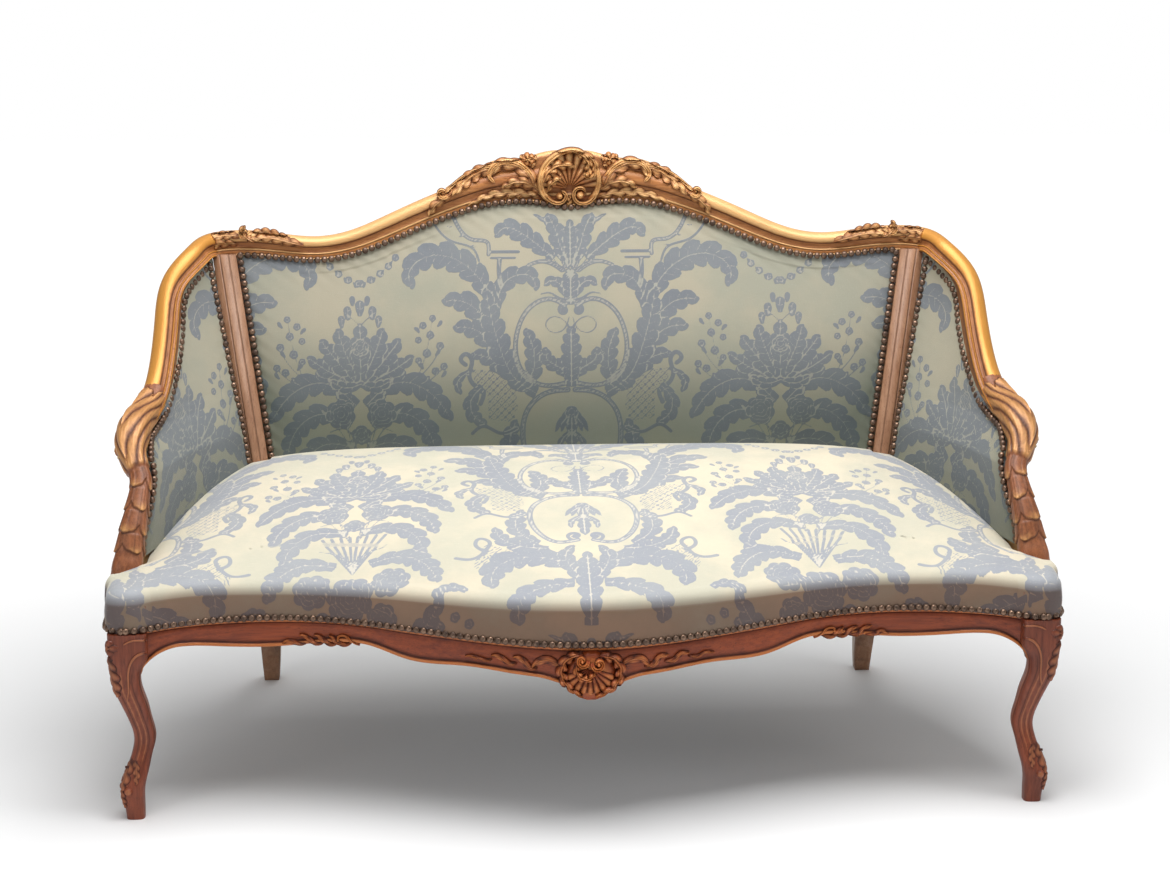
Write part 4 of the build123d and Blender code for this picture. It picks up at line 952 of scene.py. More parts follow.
    def read(self, across: Array, down: Array) -> tuple[Array, Array]:
        """Reads the figure and the veins at places on the cloth, in metres from the axes.

        Args:
            across: distance from the middle axis, any side.
            down: distance below the repeat's top.

        Returns:
            Distances inside the figure and inside the veins, in millimetres.
        """
        u = np.abs(np.asarray(across) * 1000.0) % (2 * self.wide)
        u = np.where(u > self.wide, 2 * self.wide - u, u) / self.step
        v = ((np.asarray(down) * 1000.0) % self.high) / self.step
        rows, cols = self.figure.shape
        i, j = np.clip(v.astype(int), 0, rows - 2), np.clip(u.astype(int), 0, cols - 2)
        a, b = np.clip(v - i, 0, 1), np.clip(u - j, 0, 1)
        read = []
        for sheet in (self.figure, self.vein):
            top = sheet[i, j] * (1 - b) + sheet[i, j + 1] * b
            low = sheet[i + 1, j] * (1 - b) + sheet[i + 1, j + 1] * b
            read.append(np.clip(top * (1 - a) + low * a, -4, 4))
        return read[0], read[1]


# ------------------------------------------------------------------ carving
@dataclass
class Bench:
    """Lays carved ornament on a base surface, as seen along one direction."""

    base: BVHTree
    right: Point = (1, 0, 0)
    up: Point = (0, 0, 1)
    look: Point = (0, 1, 0)
    fallback: float = 0.0
    reach: float = 0.25
    stock: Stock = field(default_factory=Stock)

    def __post_init__(self) -> None:
        """Turns the directions into unit vectors."""
        self.right_way, self.up_way = unit(np.array(self.right, float)), unit(np.array(self.up, float))
        self.look_way = unit(np.array(self.look, float))

    def depth(self, a: float, b: float) -> float | None:
        """Depth of the base under a place, along the looking direction."""
        start = self.right_way * a + self.up_way * b + self.look_way * (self.fallback - self.reach)
        hit = self.base.ray_cast(Vector(start), Vector(self.look_way), 2 * self.reach)[0]
        return None if hit is None else float(np.dot(np.array(hit), self.look_way))

    def lay(
        self, places: Array, rise: Array, sink: float = 0.0025, closed: bool = False, **marks: Any
    ) -> None:
        """Lays a grid of points on the base.

        Args:
            places: rows × columns × 2, across and up on the bench.
            rise: height of each point over the base.
            sink: how far the rim goes into the base.
            closed: joins the last column to the first.
            marks: named values of the points.
        """
        rows, cols = places.shape[:2]
        deep = np.array([[self.depth(a, b) for a, b in row] for row in places], dtype=object)
        known = np.array([[d is not None for d in row] for row in deep])
        if known.mean() < 0.45:
            return
        level = float(np.median(deep[known].astype(float))) if known.any() else self.fallback
        deep = np.where(known, deep, level).astype(float)
        limit = np.minimum(deep, level + 0.012)
        seat = limit[..., None] * self.look_way
        flat = places[..., :1] * self.right_way + places[..., 1:] * self.up_way
        top = flat + seat - self.look_way * rise[..., None]
        low = flat + seat + self.look_way * sink
        faces = grid(rows, cols, closed)
        count = rows * cols
        under = [[i + count for i in face[::-1]] for face in faces]
        rim = []
        ends = [(r, r + 1, c) for c in ((0, cols - 1) if not closed else ()) for r in range(rows - 1)]
        for r, s, c in ends:
            rim.append([r * cols + c, s * cols + c, s * cols + c + count, r * cols + c + count])
        for r in (0, rows - 1):
            for c in range(cols if closed else cols - 1):
                d = (c + 1) % cols
                rim.append([r * cols + c, r * cols + d, r * cols + d + count, r * cols + c + count])
        share = rise / max(float(rise.max()), 1e-6)
        relief = np.clip(share, 0, 1) ** 2
        values = {"relief": np.concatenate([relief.ravel(), np.zeros(count)])}
        # hollow: dark wax with painted shade, by default darker where the carving is low; the sunk undersides take
        # 1.
        hollow = marks.pop("hollow", np.clip(1.0 - share * 1.5, 0, 1))
        values["hollow"] = np.concatenate([np.broadcast_to(hollow, rise.shape).ravel(), np.ones(count)])
        points = np.concatenate([top.reshape(-1, 3), low.reshape(-1, 3)])
        self.stock.add(points, faces + under + rim, **values)

    def leaf(
        self, spine: Sequence[Pair], half: float, lobes: int = 4, rise: float = 0.006, curl: float = 0.0,
        cut: float = 0.46, lean: float = 0.85,
    ) -> None:
        """Carves an acanthus leaf: a rib, and rounded fingers that sweep forward on both sides of it.

        Args:
            spine: a few points from foot to tip, in metres on the bench.
            half: greatest half width.
            lobes: fingers on each side.
            rise: height over the base.
            curl: extra height of the tip.
            cut: depth of the notches between the fingers, as a share.
            lean: how far the fingers sweep forward, as a share of their reach.
        """
        line = smooth_line(spine, 61)
        tangent = unit(np.gradient(line, axis=0))
        normal = np.stack([-tangent[:, 1], tangent[:, 0]], axis=1)
        knots = along_line(line)
        rows, cols = 14 * lobes + 5, 17
        t = np.linspace(0, 1, rows)[:, None]
        s = np.linspace(-1, 1, cols)[None, :]
        edge = np.abs(s)
        body = (np.sin(np.pi * (0.13 + 0.87 * t)) + 0.03) ** 0.6
        finger = np.abs(np.sin(np.pi * (lobes * t + 0.22 * np.sign(s)))) ** 0.6
        deep = cut if lobes > 2 else cut * 0.35
        off = s * half * body * (1 - deep * (1 - finger))
        ahead = t * knots[-1] + lean * np.abs(off) * (1 - 0.35 * edge * finger)
        over = np.maximum(ahead - knots[-1], 0)[..., None]
        read = [np.interp(ahead, knots, values) for values in (*line.T, *normal.T)]
        away = np.stack(read[2:], axis=-1) * off[..., None]
        places = np.stack(read[:2], axis=-1) + away + tangent[-1] * over
        groove = np.exp(-(((edge - 0.2) / 0.09) ** 2))
        crease = (1 - finger) * np.clip(edge * 1.5, 0, 1)
        dome = 0.42 + 0.58 * np.sqrt(np.clip(1 - edge**2, 0, 1))
        height = rise * (dome * (1 - 0.62 * crease) - 0.16 * groove)
        height = (height + curl * t**3) * np.where(edge > 0.97, 0.45, 1.0) * np.minimum(1, 0.4 + 6 * t)
        # Dark wax with painted shadow: in the notches and the rib groove, round the leaf's edge where it stands off
        # the base, and at its foot.
        hollow = crease**0.8 * 1.1 + 0.45 * groove + 0.8 * (edge > 0.97) + 0.3 * (1 - t) ** 3
        self.lay(places, height, hollow=np.clip(hollow, 0, 1))

    def scroll(
        self, path: Sequence[Pair], start: float, end: float, rise: float = 0.006, groove: float = 0.35
    ) -> None:
        """Carves a raised band along a curve, with a groove down its middle.

        Args:
            path: points along the band, in metres on the bench.
            start: half width at its foot.
            end: half width at its end.
            rise: height over the base.
            groove: depth of the groove, as a share.
        """
        rows, cols = 8 * len(path) + 12, 11
        line = smooth_line(path, rows)
        tangent = unit(np.gradient(line, axis=0))
        side = np.stack([-tangent[:, 1], tangent[:, 0]], axis=1)
        t = np.linspace(0, 1, rows)[:, None]
        s = np.linspace(-1, 1, cols)[None, :]
        width = (start + (end - start) * t) * np.minimum(1, np.sqrt(np.clip((1 - t) * 18, 0.02, 1)))
        places = line[:, None, :] + side[:, None, :] * (s * width)[..., None]
        furrow = 1 - groove * np.exp(-((s / 0.3) ** 2))
        height = rise * (np.sqrt(np.clip(1 - s**2, 0, 1)) * 0.8 + 0.2) * furrow * np.minimum(1, 0.35 + 6 * t)
        # Dark wax with painted shadow in the groove and along the band's edges.
        hollow = np.clip(1 - furrow * 1.1, 0, 1) + (np.abs(s) > 0.95) + 0 * t
        self.lay(places, height * np.ones_like(t), hollow=hollow)

    def volute(
        self, centre: Pair, radius: float, start: float, turns: float, half: float, rise: float = 0.007
    ) -> None:
        """Carves a scroll that winds in to a button."""
        self.scroll(spiral(centre, radius, start, turns, 0.75, 12), half, half * 0.8, rise)
        self.button(centre, radius * 0.34, rise * 1.15)

    def button(self, centre: Pair, radius: float, rise: float) -> None:
        """Carves a domed button."""
        self.flower(centre, radius, 0, rise)

    def flower(self, centre: Pair, radius: float, petals: int, rise: float) -> None:
        """Carves a flower with a domed heart; with no petals it is a plain dome."""
        rows, cols = 9, max(petals * 6, 18)
        r = np.linspace(0.02, 1, rows)[:, None]
        turn = np.linspace(0, math.tau, cols, endpoint=False)[None, :]
        wave = np.abs(np.sin(petals * turn / 2)) ** 0.6 if petals else np.ones_like(turn)
        reach = radius * r * (0.72 + 0.28 * wave)
        places = np.stack([centre[0] + reach * np.cos(turn), centre[1] + reach * np.sin(turn)], axis=-1)
        if petals:
            height = rise * (0.55 + 0.45 * np.sin(np.pi * np.clip(r * 1.15 - 0.1, 0, 1)) * wave)
            height = height + rise * 0.75 * np.exp(-((r / 0.25) ** 2))
            height = height * np.where(r > 0.93, 0.6, 1.0)
        else:
            height = rise * np.sqrt(np.clip(1.02 - r**2, 0, 1)) * np.ones_like(turn)
        # Dark wax with painted shade between the petals and in a ring round the heart.
        hollow = np.clip((1 - wave) * r * 0.9, 0, 1) + (np.abs(r - 0.38) < 0.07) * 0.6 * bool(petals)
        self.lay(places, height * np.ones_like(turn), closed=True, hollow=hollow + 0 * r)

    def shell(
        self, foot: Pair, reach: float, ribs: int, rise: float, spread: float = 84.0, tilt: float = 0.0
    ) -> None:
        """Carves a fan of hollow ribs that open upwards from the foot."""
        rows, cols = 16, ribs * 8 + 1
        r = np.linspace(0.1, 1, rows)[:, None]
        s = np.linspace(-1, 1, cols)[None, :]
        angle = np.radians(90 + tilt - spread * s)
        wave = np.abs(np.sin(np.pi * (s + 1) / 2 * ribs)) ** 0.8
        length = reach * r * (0.93 + 0.07 * wave) * (1 - 0.12 * np.abs(s) ** 3)
        places = np.stack([foot[0] + length * np.cos(angle), foot[1] + length * np.sin(angle)], axis=-1)
        height = rise * (0.35 + 0.65 * r**1.2) * (0.5 + 0.5 * wave) * np.where(r > 0.96, 0.75, 1.0)
        # Dark wax with painted shade between the ribs.
        hollow = np.clip(1.05 - wave, 0, 1) * 0.9
        self.lay(places, height, hollow=hollow + 0 * r)


def tree_of(points: Array, faces: list[list[int]]) -> BVHTree:
    """A tree for finding where a line meets a skin."""
    return BVHTree.FromPolygons([tuple(p) for p in points.tolist()], faces)


# ------------------------------------------------------------------ crest and arm rails
@dataclass
class ShowRails:
    """Crest rail and arm rails: one moulded section along one run, cut at the crest's two ends."""

    stations: int = 150
    wide: float = 0.020
    section: tuple[tuple[float, float, float, float], ...] = (
        # across to the outer edge, towards the front (shares), relief, hollow (dark wax with painted shadow in the
        # grooves and under the edges)
        (-1.0, -1.0, 0.0, 0.1), (-0.3, -1.0, 0.0, 0.0), (0.3, -0.99, 0.0, 0.0), (0.55, -0.94, 0.0, 0.0),
        (0.78, -0.74, 0.1, 0.0), (0.93, -0.42, 0.2, 0.0), (1.0, -0.02, 0.5, 0.0), (0.99, 0.3, 0.8, 0.0),
        (0.93, 0.58, 1.0, 0.0), (0.83, 0.8, 1.0, 0.0), (0.69, 0.95, 1.0, 0.0), (0.54, 1.0, 0.95, 0.0),
        (0.40, 0.96, 0.6, 0.1), (0.33, 0.84, 0.0, 0.9), (0.29, 0.76, 0.0, 1.0), (0.22, 0.76, 0.3, 0.2),
        (0.10, 0.68, 0.1, 0.1), (-0.04, 0.65, 0.1, 0.12), (-0.17, 0.67, 0.1, 0.15), (-0.25, 0.72, 0.1, 0.5),
        (-0.29, 0.82, 0.7, 0.1), (-0.36, 0.86, 1.0, 0.0), (-0.43, 0.84, 0.7, 0.2), (-0.47, 0.79, 0.1, 0.6),
        (-0.54, 0.80, 0.3, 0.0), (-0.70, 0.82, 0.35, 0.0), (-0.80, 0.80, 0.2, 0.3), (-0.84, 0.84, 0.9, 0.0),
        (-0.92, 0.88, 1.0, 0.0), (-0.99, 0.80, 0.6, 0.2), (-1.0, 0.60, 0.0, 0.9), (-1.0, 0.0, 0.0, 0.6),
    )

    def __post_init__(self) -> None:
        """Works out the run from the crest's middle to the right knuckle."""
        keys = []
        for x, z, half in CREST_KEYS + (CREST_END,):
            x, z = x / 1000, z / 1000
            keys.append((x, float(SIZE.back_y(x, z)) + RAIL_DEEP, z, half / 1000))
        for x, y, z in ARM_KEYS:
            keys.append((x / 1000, POST_Y + y / 1000, z / 1000, self.wide))
        right = np.array(keys)
        left = right[1:][::-1] * (-1, 1, 1, 1)
        run = np.concatenate([left, right])
        knots = along_line(run[:, :3])
        middle = knots[len(left)]
        reach = knots[-1] - middle
        self.joint_at = knots[len(left) + len(CREST_KEYS)] - middle
        steps = np.linspace(0, reach, 2 * self.stations)
        steps = np.sort(np.append(steps, self.joint_at))
        read = spline(knots, run, middle + steps)
        self.centre, self.half = read[:, :3], read[:, 3]
        ahead = spline(knots, run, middle + steps + 0.001)[:, :3]
        back = spline(knots, run, middle + steps - 0.001)[:, :3]
        self.along = unit(ahead - back)
        front = np.array([0, -1.0, 0]) - self.along * (self.along @ np.array([0, -1.0, 0]))[:, None]
        self.front = unit(front)
        self.out = np.cross(self.front, self.along)
        self.steps = steps

    def rings(self, pick: Array) -> Array:
        """Section rings at the picked stations."""
        shape = np.array([row[:2] for row in self.section])
        turned = soft_step(self.steps[pick], self.joint_at - 0.04, self.joint_at + 0.10)[:, None]
        groove = 0.12 - 0.36 * turned
        share, drawn = shape[None, :, 0], 0.33
        outer = groove + (share - drawn) / (1 - drawn) * (1 - groove)
        inner = (share + 1) / (drawn + 1) * (groove + 1) - 1
        across = self.half[pick][:, None] * np.where(share >= drawn, outer, inner)
        forward = RAIL_DEEP * shape[None, :, 1]
        flat = self.centre[pick][:, None] + self.out[pick][:, None] * across[..., None]
        return flat + self.front[pick][:, None] * forward[..., None]

    def lay(self, rings: Array) -> Stock:
        """The skin over some rings, with the section's relief and hollows; bare wood behind the carving."""
        points, faces = tube(rings)
        bare = soft_step(np.abs(rings[:, 0, 0]), 0.16, 0.24)[:, None]
        outer = np.array([row[0] > 0.2 for row in self.section], float)[None, :]
        relief = np.array([row[2] for row in self.section])[None, :] * (1 - outer * (1 - bare))
        hollow = np.tile([row[3] for row in self.section], len(rings))
        stock = Stock()
        stock.add(points, faces, relief=relief.ravel(), hollow=hollow)
        return stock

    def under_z(self, x: Array) -> Array:
        """Height of the crest's lower edge, by the upholstery, at x."""
        edge = (self.centre - self.out * self.half[:, None])[:, (0, 2)]
        order = np.argsort(edge[:, 0])
        return np.interp(np.abs(x), edge[order, 0], edge[order, 1])

    def crest(self) -> Stock:
        """The moulded crest without its carving."""
        rings = self.rings(self.steps <= self.joint_at + 1e-9)
        return self.lay(np.concatenate([rings[:0:-1] * (-1, 1, 1), rings]))

    def arm(self) -> Stock:
        """The right arm rail."""
        return self.lay(self.rings(self.steps >= self.joint_at - 1e-9))

@dataclass
class CrestCarving:
    """The crest's carved mass: slab, shell, scrolls, flowers, trailing leaves and the two end sprays."""

    rails: ShowRails
    finish: bpy.types.Material
    top: tuple[Pair, ...] = ((0, 930), (40, 927), (80, 917), (120, 914), (150, 902), (206, 868))

    def slab(self, stock: Stock) -> None:
        """Adds the mass behind the carving, rounded over its top edge."""
        keys = np.array(self.top, float) / 1000
        xs = np.linspace(0, keys[-1, 0], 60)
        high = spline(keys[:, 0], keys[:, 1], xs)
        foot = np.interp(xs, self.rails.centre[:, 0], self.rails.centre[:, 2]) + 0.004
        high = np.maximum(high, foot + 0.002)
        rows = []
        for x, low_z, high_z in zip(xs, foot, high):
            near = float(SIZE.back_y(x, SIZE.crest_z)) + RAIL_DEEP
            tall = high_z - low_z
            ring = []
            for share, deep in (
                (0.0, -0.0165), (0.3, -0.0155), (0.6, -0.0145), (0.85, -0.0135), (0.95, -0.011), (1.0, -0.006),
                (1.0, 0.004), (0.95, 0.009), (0.8, 0.012), (0.0, 0.0144),
            ):
                ring.append((x, near + deep, low_z + tall * share))
            rows.append(ring)
        rings = np.array(rows)
        both = np.concatenate([rings[:0:-1] * (-1, 1, 1), rings])
        points, faces = tube(both)
        relief = np.tile([0.1, 0.1, 0.15, 0.3, 0.7, 0.9, 0.5, 0.1, 0, 0], len(both))
        # Dark wax with painted shade, darkest at the slab's foot on the crest rail.
        hollow = np.tile([0.8, 0.55, 0.4, 0.3, 0, 0, 0, 0, 0, 0], len(both))
        stock.add(points, faces, relief=relief, hollow=hollow)

    def ornament(self, base: Stock) -> Stock:
        """Carves the ornament of both halves over the crest and slab."""
        skin = tree_of(np.concatenate(base.points), base.faces)
        bench = Bench(skin, fallback=float(SIZE.back_y(0, SIZE.crest_z)) + 0.002)
        self.shell(bench)
        for side in (1, -1):
            self.half(bench, side)
        return bench.stock

    def half(self, bench: Bench, side: int) -> None:
        """Carves one half: leaves trailing from the shell, flower, knob and the spray over the stile."""
        at = places_on(side)
        bench.leaf(at((56, 866), (66, 890), (92, 908), (120, 906), (132, 888)), 0.0120, 4, 0.010, 0.003, 0.40)
        wrap = at((58, 884), (74, 904), (100, 915), (124, 908), (134, 892), (124, 880))
        bench.scroll(wrap, 0.0044, 0.0034, 0.013, 0.3)
        bench.leaf(at((110, 904), (140, 900), (170, 884), (194, 860)), 0.0120, 5, 0.009, 0.003)
        bench.leaf(at((196, 862), (212, 852), (226, 840), (234, 826)), 0.0090, 3, 0.007, 0.002)
        bench.scroll(at((116, 908), (150, 902), (180, 886), (206, 864)), 0.0034, 0.0024, 0.011)
        bench.volute(at((211, 864))[0], 0.010, 200 if side > 0 else -20, side * 0.9, 0.0038, 0.011)
        bench.leaf(at((46, 862), (66, 876), (90, 880), (112, 870)), 0.0105, 4, 0.009, 0.002)
        bench.leaf(at((44, 852), (72, 860), (104, 862), (138, 856), (168, 842)), 0.0085, 6, 0.006)
        for place in at((92, 863), (84, 856), (100, 856)):
            bench.flower(place, 0.0055, 5, 0.005)
        for angle in (20, 95, 165, 235, 305):
            turn = math.radians(angle)
            x, z = 68 + 15 * math.cos(turn), 915 + 13 * math.sin(turn)
            bench.leaf(at((68, 915), ((68 + x) / 2, (915 + z) / 2 + 1), (x, z)), 0.006, 2, 0.006, 0.001)
        bench.flower(at((68, 917))[0], 0.0115, 5, 0.012)
        bench.flower(at((68, 917))[0], 0.0062, 5, 0.017)
        for path in (
            ((440, 780), (472, 789), (504, 795), (530, 792)), ((462, 789), (488, 799), (512, 803), (532, 799)),
        ):
            bench.leaf(at(*path), 0.0090, 5, 0.006, 0.002)
        bench.leaf(at((520, 788), (534, 796), (541, 808), (536, 815)), 0.007, 3, 0.010, 0.003)
        bench.volute(at((538, 803))[0], 0.0095, 220 if side > 0 else -40, side * 0.9, 0.0036, 0.010)
        for path in (
            ((544, 797), (566, 799), (590, 795), (614, 784)), ((548, 784), (572, 785), (598, 779), (620, 765)),
        ):
            bench.leaf(at(*path), 0.0080, 5, 0.005, 0.001)

    def shell(self, bench: Bench) -> None:
        """Carves the middle shell, the leaf that wraps it and the two volutes below."""
        at = places_on(1)
        bench.shell((0.0, 0.868), 0.060, 11, 0.012, 88.0)
        for path, start, end, rise, groove in (
            (((-30, 846), (-44, 862), (-48, 886), (-38, 910), (-18, 926), (6, 932), (24, 928)), 6.2, 5.0, 20, 0.22),
            (((34, 848), (46, 866), (48, 890), (40, 912), (24, 926), (8, 930)), 5.2, 4.0, 18, 0.22),
        ):
            bench.scroll(at(*path), start / 1000, end / 1000, rise / 1000, groove)
        for path, half, lobes, rise, curl in (
            (((-46, 874), (-36, 896), (-14, 908), (8, 906)), 10.5, 4, 19, 4),
            (((-40, 858), (-30, 878), (-14, 888)), 7.5, 3, 17, 3),
            (((8, 930), (24, 922), (32, 906), (30, 890)), 10.0, 4, 22, 3),
            (((28, 926), (40, 914), (42, 898), (34, 886)), 7.0, 3, 21, 2),
        ):
            bench.leaf(at(*path), half / 1000, lobes, rise / 1000, curl / 1000)
        bench.volute((0.028, 0.893), 0.0075, 90, -0.9, 0.0030, 0.021)
        lip = ((-80, 847.5), (-50, 846.5), (-22, 842.5), (0, 840), (22, 842.5), (50, 846.5), (80, 847.5))
        for path, start, end, rise, groove in (
            (((-47, 880), (-42, 860), (-26, 846), (-10, 848), (-6, 858), (-14, 865)), 4.2, 3.2, 18, 0.35),
            (((47, 880), (44, 860), (30, 845), (12, 847), (7, 858), (12, 868), (22, 869), (27, 862)), 4.2, 3.0, 18,
             0.35),
            (lip, 3.4, 3.0, 8, 0.1),
        ):
            bench.scroll(at(*path), start / 1000, end / 1000, rise / 1000, groove)
        bench.button((-0.016, 0.856), 0.0062, 0.016)
        bench.button((0.018, 0.858), 0.0075, 0.018)
        bench.leaf(at((0, 838), (0, 846), (0, 856)), 0.005, 2, 0.012)

    def make(self) -> bpy.types.Object:
        """Builds the crest rail with all its carving."""
        stock = self.rails.crest()
        self.slab(stock)
        stock.join(self.ornament(stock))
        return dressed(stock.piece("crest_rail_carved"), self.finish, "gilded_wood", "crest_rail")


@dataclass
class Arms:
    """Arm rails and their supports, with acanthus at the knuckle and husks down the support."""

    rails: ShowRails
    finish: bpy.types.Material
    support_finish: bpy.types.Material
    path: tuple[tuple[float, ...], ...] = (
        # x, y, z, half across, half deep (mm), from under the arm rail over the knuckle to the neck
        (667, 65, 583, 18.0, 17.0), (678, 24, 561, 18.6, 17.6), (685, -8, 553, 20.0, 19.0),
        (690.5, -38, 541, 21.5, 21), (692, -60, 525, 20.5, 20), (687, -77, 508, 17, 17),
        (680, -90, 494, 15.6, 15.6),
    )
    husks: tuple[float, ...] = (0.0330, 0.0360, 0.0350, 0.0290)

    def run(self) -> tuple[Array, Array]:
        """The carved run's middle line with its half sizes, and the distances along it."""
        lower = [(x, POST_Y * 1000 + y, z, a, b) for z, x, y, a, b in SUPPORT_KEYS[::-1][1:]]
        keys = np.array([*self.path, *lower]) / 1000
        knots = along_line(keys[:, :3])
        steps = np.linspace(0, knots[-1], 250)
        return spline(knots, keys, steps), steps

    @staticmethod
    def tips(turn: Array, count: float) -> Array:
        """Shape of a row of leaf tips round the section: 1 at each tip, 0 between."""
        return np.abs(np.cos(turn * count / 2)) ** 0.7

    def relief(self, steps: Array, turn: Array, neck: float) -> tuple[Array, Array, Array]:
        """Height, worn and hollow marks of the carving.

        Args:
            steps: distance along the run, as a column.
            turn: angle round the section, as a row.
            neck: where the knuckle's leaf ends.

        Returns:
            Height over the ground in metres, relief and hollow marks.
        """
        off = np.abs((turn - math.pi / 3 + math.pi) % math.tau - math.pi)
        ribs = np.abs(np.cos(steps * 62 + off * 4.6)) ** 0.7
        tip = self.tips(turn, 5)
        start = 0.030 - 0.020 * tip + 0.003 * np.abs(np.sin(turn * 7.5))
        on = soft_step(steps, start - 0.0012, start + 0.0012)
        fade = 1 - soft_step(steps, neck - 0.012, neck)
        rib = np.exp(-((off / 0.16) ** 2))
        veins = np.abs(np.cos(steps * 62 + off * 13.8)) ** 0.8
        height = on * fade * (0.0018 + 0.0024 * ribs * (0.5 + 0.5 * tip) + 0.0006 * veins + 0.0016 * rib)
        # hollow: painted shadow at the edge where the knuckle's leaf starts, and dark wax with painted shade
        # between its ribs and veins.
        hollow = np.exp(-(((steps - start + 0.0016) / 0.0016) ** 2))
        hollow = hollow + on * fade * (1 - rib) * ((1 - ribs) ** 1.6 + (1 - veins) ** 2 * 0.35)
        worn = on * fade * (0.15 + 0.65 * ribs + 0.3 * rib)
        top = neck - 0.004
        for number, long in enumerate(self.husks):
            shift = number * 0.5 * math.tau / 4 + 0.35
            petal = self.tips(turn + shift, 4)
            fibre = np.abs(np.cos((turn + shift) * 8)) ** 0.8
            low = top + long - 0.016 * (1 - petal)
            share = np.clip((steps - top) / long, 0, 1)
            inside = soft_step(steps, top - 0.002, top + 0.002)
            inside = inside * (1 - soft_step(steps, low - 0.0008, low + 0.0008))
            swell = 0.0006 + 0.0022 * share**1.4 * (0.6 + 0.4 * petal) + 0.0007 * fibre
            height = np.maximum(height, inside * swell)
            # Painted shadow just below each husk's lower edge, and dark wax with painted shade between its petals
            # and fibres.
            hollow = hollow + np.exp(-(((steps - low - 0.0014) / 0.0013) ** 2)) * 0.7
            hollow = hollow + inside * ((1 - petal) ** 3 * 0.6 + (1 - fibre) ** 2 * 0.5)
            worn = np.maximum(worn, inside * (0.15 + 0.7 * share**2 * petal))
            top += long
        return height, worn, np.clip(hollow, 0, 1)

    def support(self) -> Stock:
        """The right support: carved knuckle, husks, and a flared foot with a bead."""
        read, steps = self.run()
        centre, half = read[:, :3], read[:, 3:]
        along = unit(np.gradient(centre, axis=0))
        across = unit(np.array([1.0, 0, 0]) - along * along[:, :1])
        deep = np.cross(along, across)
        count = 90
        turn = np.linspace(0, math.tau, count, endpoint=False)[None, :]
        neck = float(steps[np.argmin(np.abs(centre[:, 2] - 0.488))])
        power = (0.80 - 0.16 * soft_step(steps, neck - 0.03, neck + 0.02))[:, None]
        height, worn, hollow = self.relief(steps[:, None], turn, neck)
        z = centre[:, 2:3]
        bead = np.exp(-(((z - 0.352) / 0.003) ** 2))
        foot = -0.04 * (z < 0.345) + 0.05 * bead - 0.05 * np.exp(-(((z - 0.347) / 0.0015) ** 2))
        a = half[:, :1] * (1 + foot) + height
        b = half[:, 1:] * (1 + foot) + height
        side = np.sign(np.cos(turn)) * np.abs(np.cos(turn)) ** power
        front = np.sign(np.sin(turn)) * np.abs(np.sin(turn)) ** power
        rings = centre[:, None] + across[:, None] * (a * side)[..., None]
        rings = rings + deep[:, None] * (b * front)[..., None]
        points, faces = tube(rings)
        stock = Stock()
        # Painted shadow in the groove under the foot's bead, over the carving's dark wax and painted shade.
        dark = np.clip(hollow + np.exp(-(((z - 0.347) / 0.0016) ** 2)) * 0.9, 0, 1)
        stock.add(points, faces, relief=worn + 0.25 * bead, hollow=dark)
        return stock

    def make(self) -> None:
        """Builds both arm rails and both supports."""
        arm, support = self.rails.arm(), self.support()
        for side, rail, post in (("right", arm, support), ("left", arm.mirrored(), support.mirrored())):
            dressed(rail.piece(f"arm_rail_{side}_moulded"), self.finish, "gilded_wood", f"arm_rail_{side}")
            piece = post.piece(f"arm_support_{side}_carved", 60)
            dressed(piece, self.support_finish, "gilded_wood", f"arm_support_{side}")


